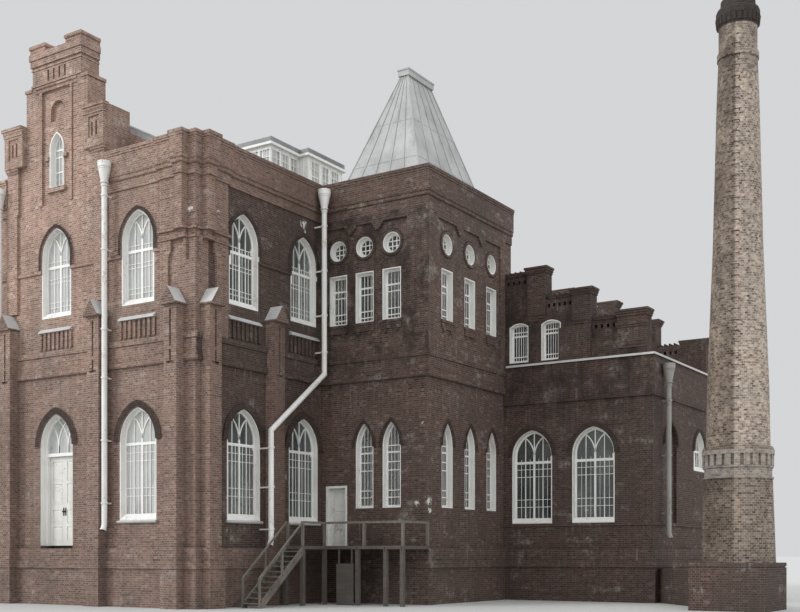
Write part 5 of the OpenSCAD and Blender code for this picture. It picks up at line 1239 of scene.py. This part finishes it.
def panelMouldings(shape, leaf):
    v, front, face = doorValues, leaf["front"], leaf["face"]
    x0, x1 = leaf["x0"] + v["margin"], leaf["x1"] - v["margin"]
    for low, high in leaf["panels"]:
        z0, z1 = leaf["foot"] + leaf["height"] * low, leaf["foot"] + leaf["height"] * high
        loop, inner = inset(x0, z0, x1, z1, 0), inset(x0, z0, x1, z1, v["thick"])
        for i in range(4):
            outline = [loop[i], loop[(i + 1) % 4], inner[(i + 1) % 4], inner[i]]
            prism(shape, front, outline, -face - 0.013, -face + v["proud"])
        rim, flat = (inset(x0, z0, x1, z1, v["field"] * wide) for wide in (1, 2))
        points = [front(a, -face - 0.0145, b) for a, b in rim]
        points += [front(a, -face - 0.004, b) for a, b in flat]
        shape.add(points, boxFaces)


for leaf in leaves:
    shape = Shape()
    panelMouldings(shape, leaf)
    makePiece("trim_" + leaf["name"], shape, doorPaint, leaf["body"])
for leaf in leaves:
    shape = Shape()
    at, z, face, front = leaf["knob"], leaf["knobZ"], leaf["face"], leaf["front"]
    away = Vector(front(0, 1, 0)) - Vector(front(0, 0, 0))
    prism(shape, front, [(at - 0.028, z - 0.16), (at + 0.028, z - 0.16), (at + 0.034, z - 0.12),
                         (at + 0.034, z + 0.10), (at + 0.028, z + 0.14), (at - 0.028, z + 0.14),
                         (at - 0.034, z + 0.10), (at - 0.034, z - 0.12)], -face - 0.001, -face + 0.006)
    lathe(shape, front(at, -face + 0.004, z), away,
          [(0.010, 0), (0.010, 0.022), (0.024, 0.030), (0.032, 0.046), (0.026, 0.062), (0.010, 0.068)], 16)
    for low in (-0.145, 0.125):
        lathe(shape, front(at, -face + 0.005, z + low), away, [(0.007, 0), (0.005, 0.003)], 8)
    makePiece("knob_" + leaf["name"], shape, ironwork, leaf["body"])

# Bolts and coach screws of the outside stair
boltValues = {"radius": 0.017, "height": 0.014, "washer": 0.030}
shape = Shape()
v = boltValues


def bolt(place, out):
    lathe(shape, place, out, [(v["washer"], -0.004), (v["washer"], 0.004)], 10)
    lathe(shape, place, out, [(v["radius"], 0.003), (v["radius"], v["height"]),
                              (v["radius"] * 0.7, v["height"] + 0.004)], 6)


for x in (1.41, 2.90, 4.10, 4.80):
    for z in (2.06, 1.97):
        bolt((x + 0.07, 5.15, z), (0, -1, 0))
for x in (0.64, 1.41):
    for z in (1.97, 1.88):
        bolt((x + 0.07, 3.85, z), (0, -1, 0))
for y in (1.53, 2.08, 2.70, 3.30, 3.76):
    share = (y - 1.45) / 2.4
    for x, out in ((0.76, -1), (1.56, 1)):
        bolt((x, y, 0.17 + share * 1.78), (out, 0, 0))
makePiece("stair_bolts", shape, ironwork)
print("doors and stair detailed")

# Floor, light and background: the sky is plain to the camera and in reflections, and brighter as a lamp
lightValues = {"sky": (0.96, 0.975, 1.0, 1), "strength": 1.42, "seen": (0.66, 0.67, 0.68, 1),
               "floor": (0.47, 0.47, 0.455, 1), "reach": 1500, "sun": 1.30, "spread": 14,
               "turn": (62, 0, -42)}
v = lightValues
floorMesh = bpy.data.meshes.new("floor")
corners = [(x * v["reach"], y * v["reach"], 0) for x, y in ((-1, -1), (1, -1), (1, 1), (-1, 1))]
floorMesh.from_pydata(corners, [], [(0, 1, 2, 3)])
floor = bpy.data.objects.new("floor", floorMesh)
bpy.context.scene.collection.objects.link(floor)
floorMaterial, _, floorShader = newMaterial("floorPale")
floorShader.inputs["Base Color"].default_value = v["floor"]
floorShader.inputs["Roughness"].default_value = 0.9
floorMesh.materials.append(floorMaterial)
floor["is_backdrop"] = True

world = bpy.data.worlds.new("studio")
world.use_nodes = True
tree = world.node_tree
light = tree.nodes["Background"]
light.inputs["Color"].default_value = v["sky"]
light.inputs["Strength"].default_value = v["strength"]
seen = addNode(tree, "ShaderNodeBackground", {"Color": v["seen"], "Strength": 1.0})
rays = addNode(tree, "ShaderNodeLightPath").outputs
pale = calc(tree, "ADD", rays["Is Camera Ray"], rays["Is Glossy Ray"])
pale = calc(tree, "ADD", pale, rays["Is Transmission Ray"], clamp=True)
both = addNode(tree, "ShaderNodeMixShader", {0: pale, 1: light.outputs[0], 2: seen.outputs[0]})
tree.links.new(both.outputs[0], tree.nodes["World Output"].inputs["Surface"])
bpy.context.scene.world = world
sunData = bpy.data.lights.new("sun", "SUN")
sunData.energy = v["sun"]
sunData.angle = math.radians(v["spread"])
sun = bpy.data.objects.new("sun", sunData)
sun.rotation_euler = [math.radians(angle) for angle in v["turn"]]
bpy.context.scene.collection.objects.link(sun)
bpy.context.scene.view_settings.view_transform = "Standard"
print("light and floor placed")

low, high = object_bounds()
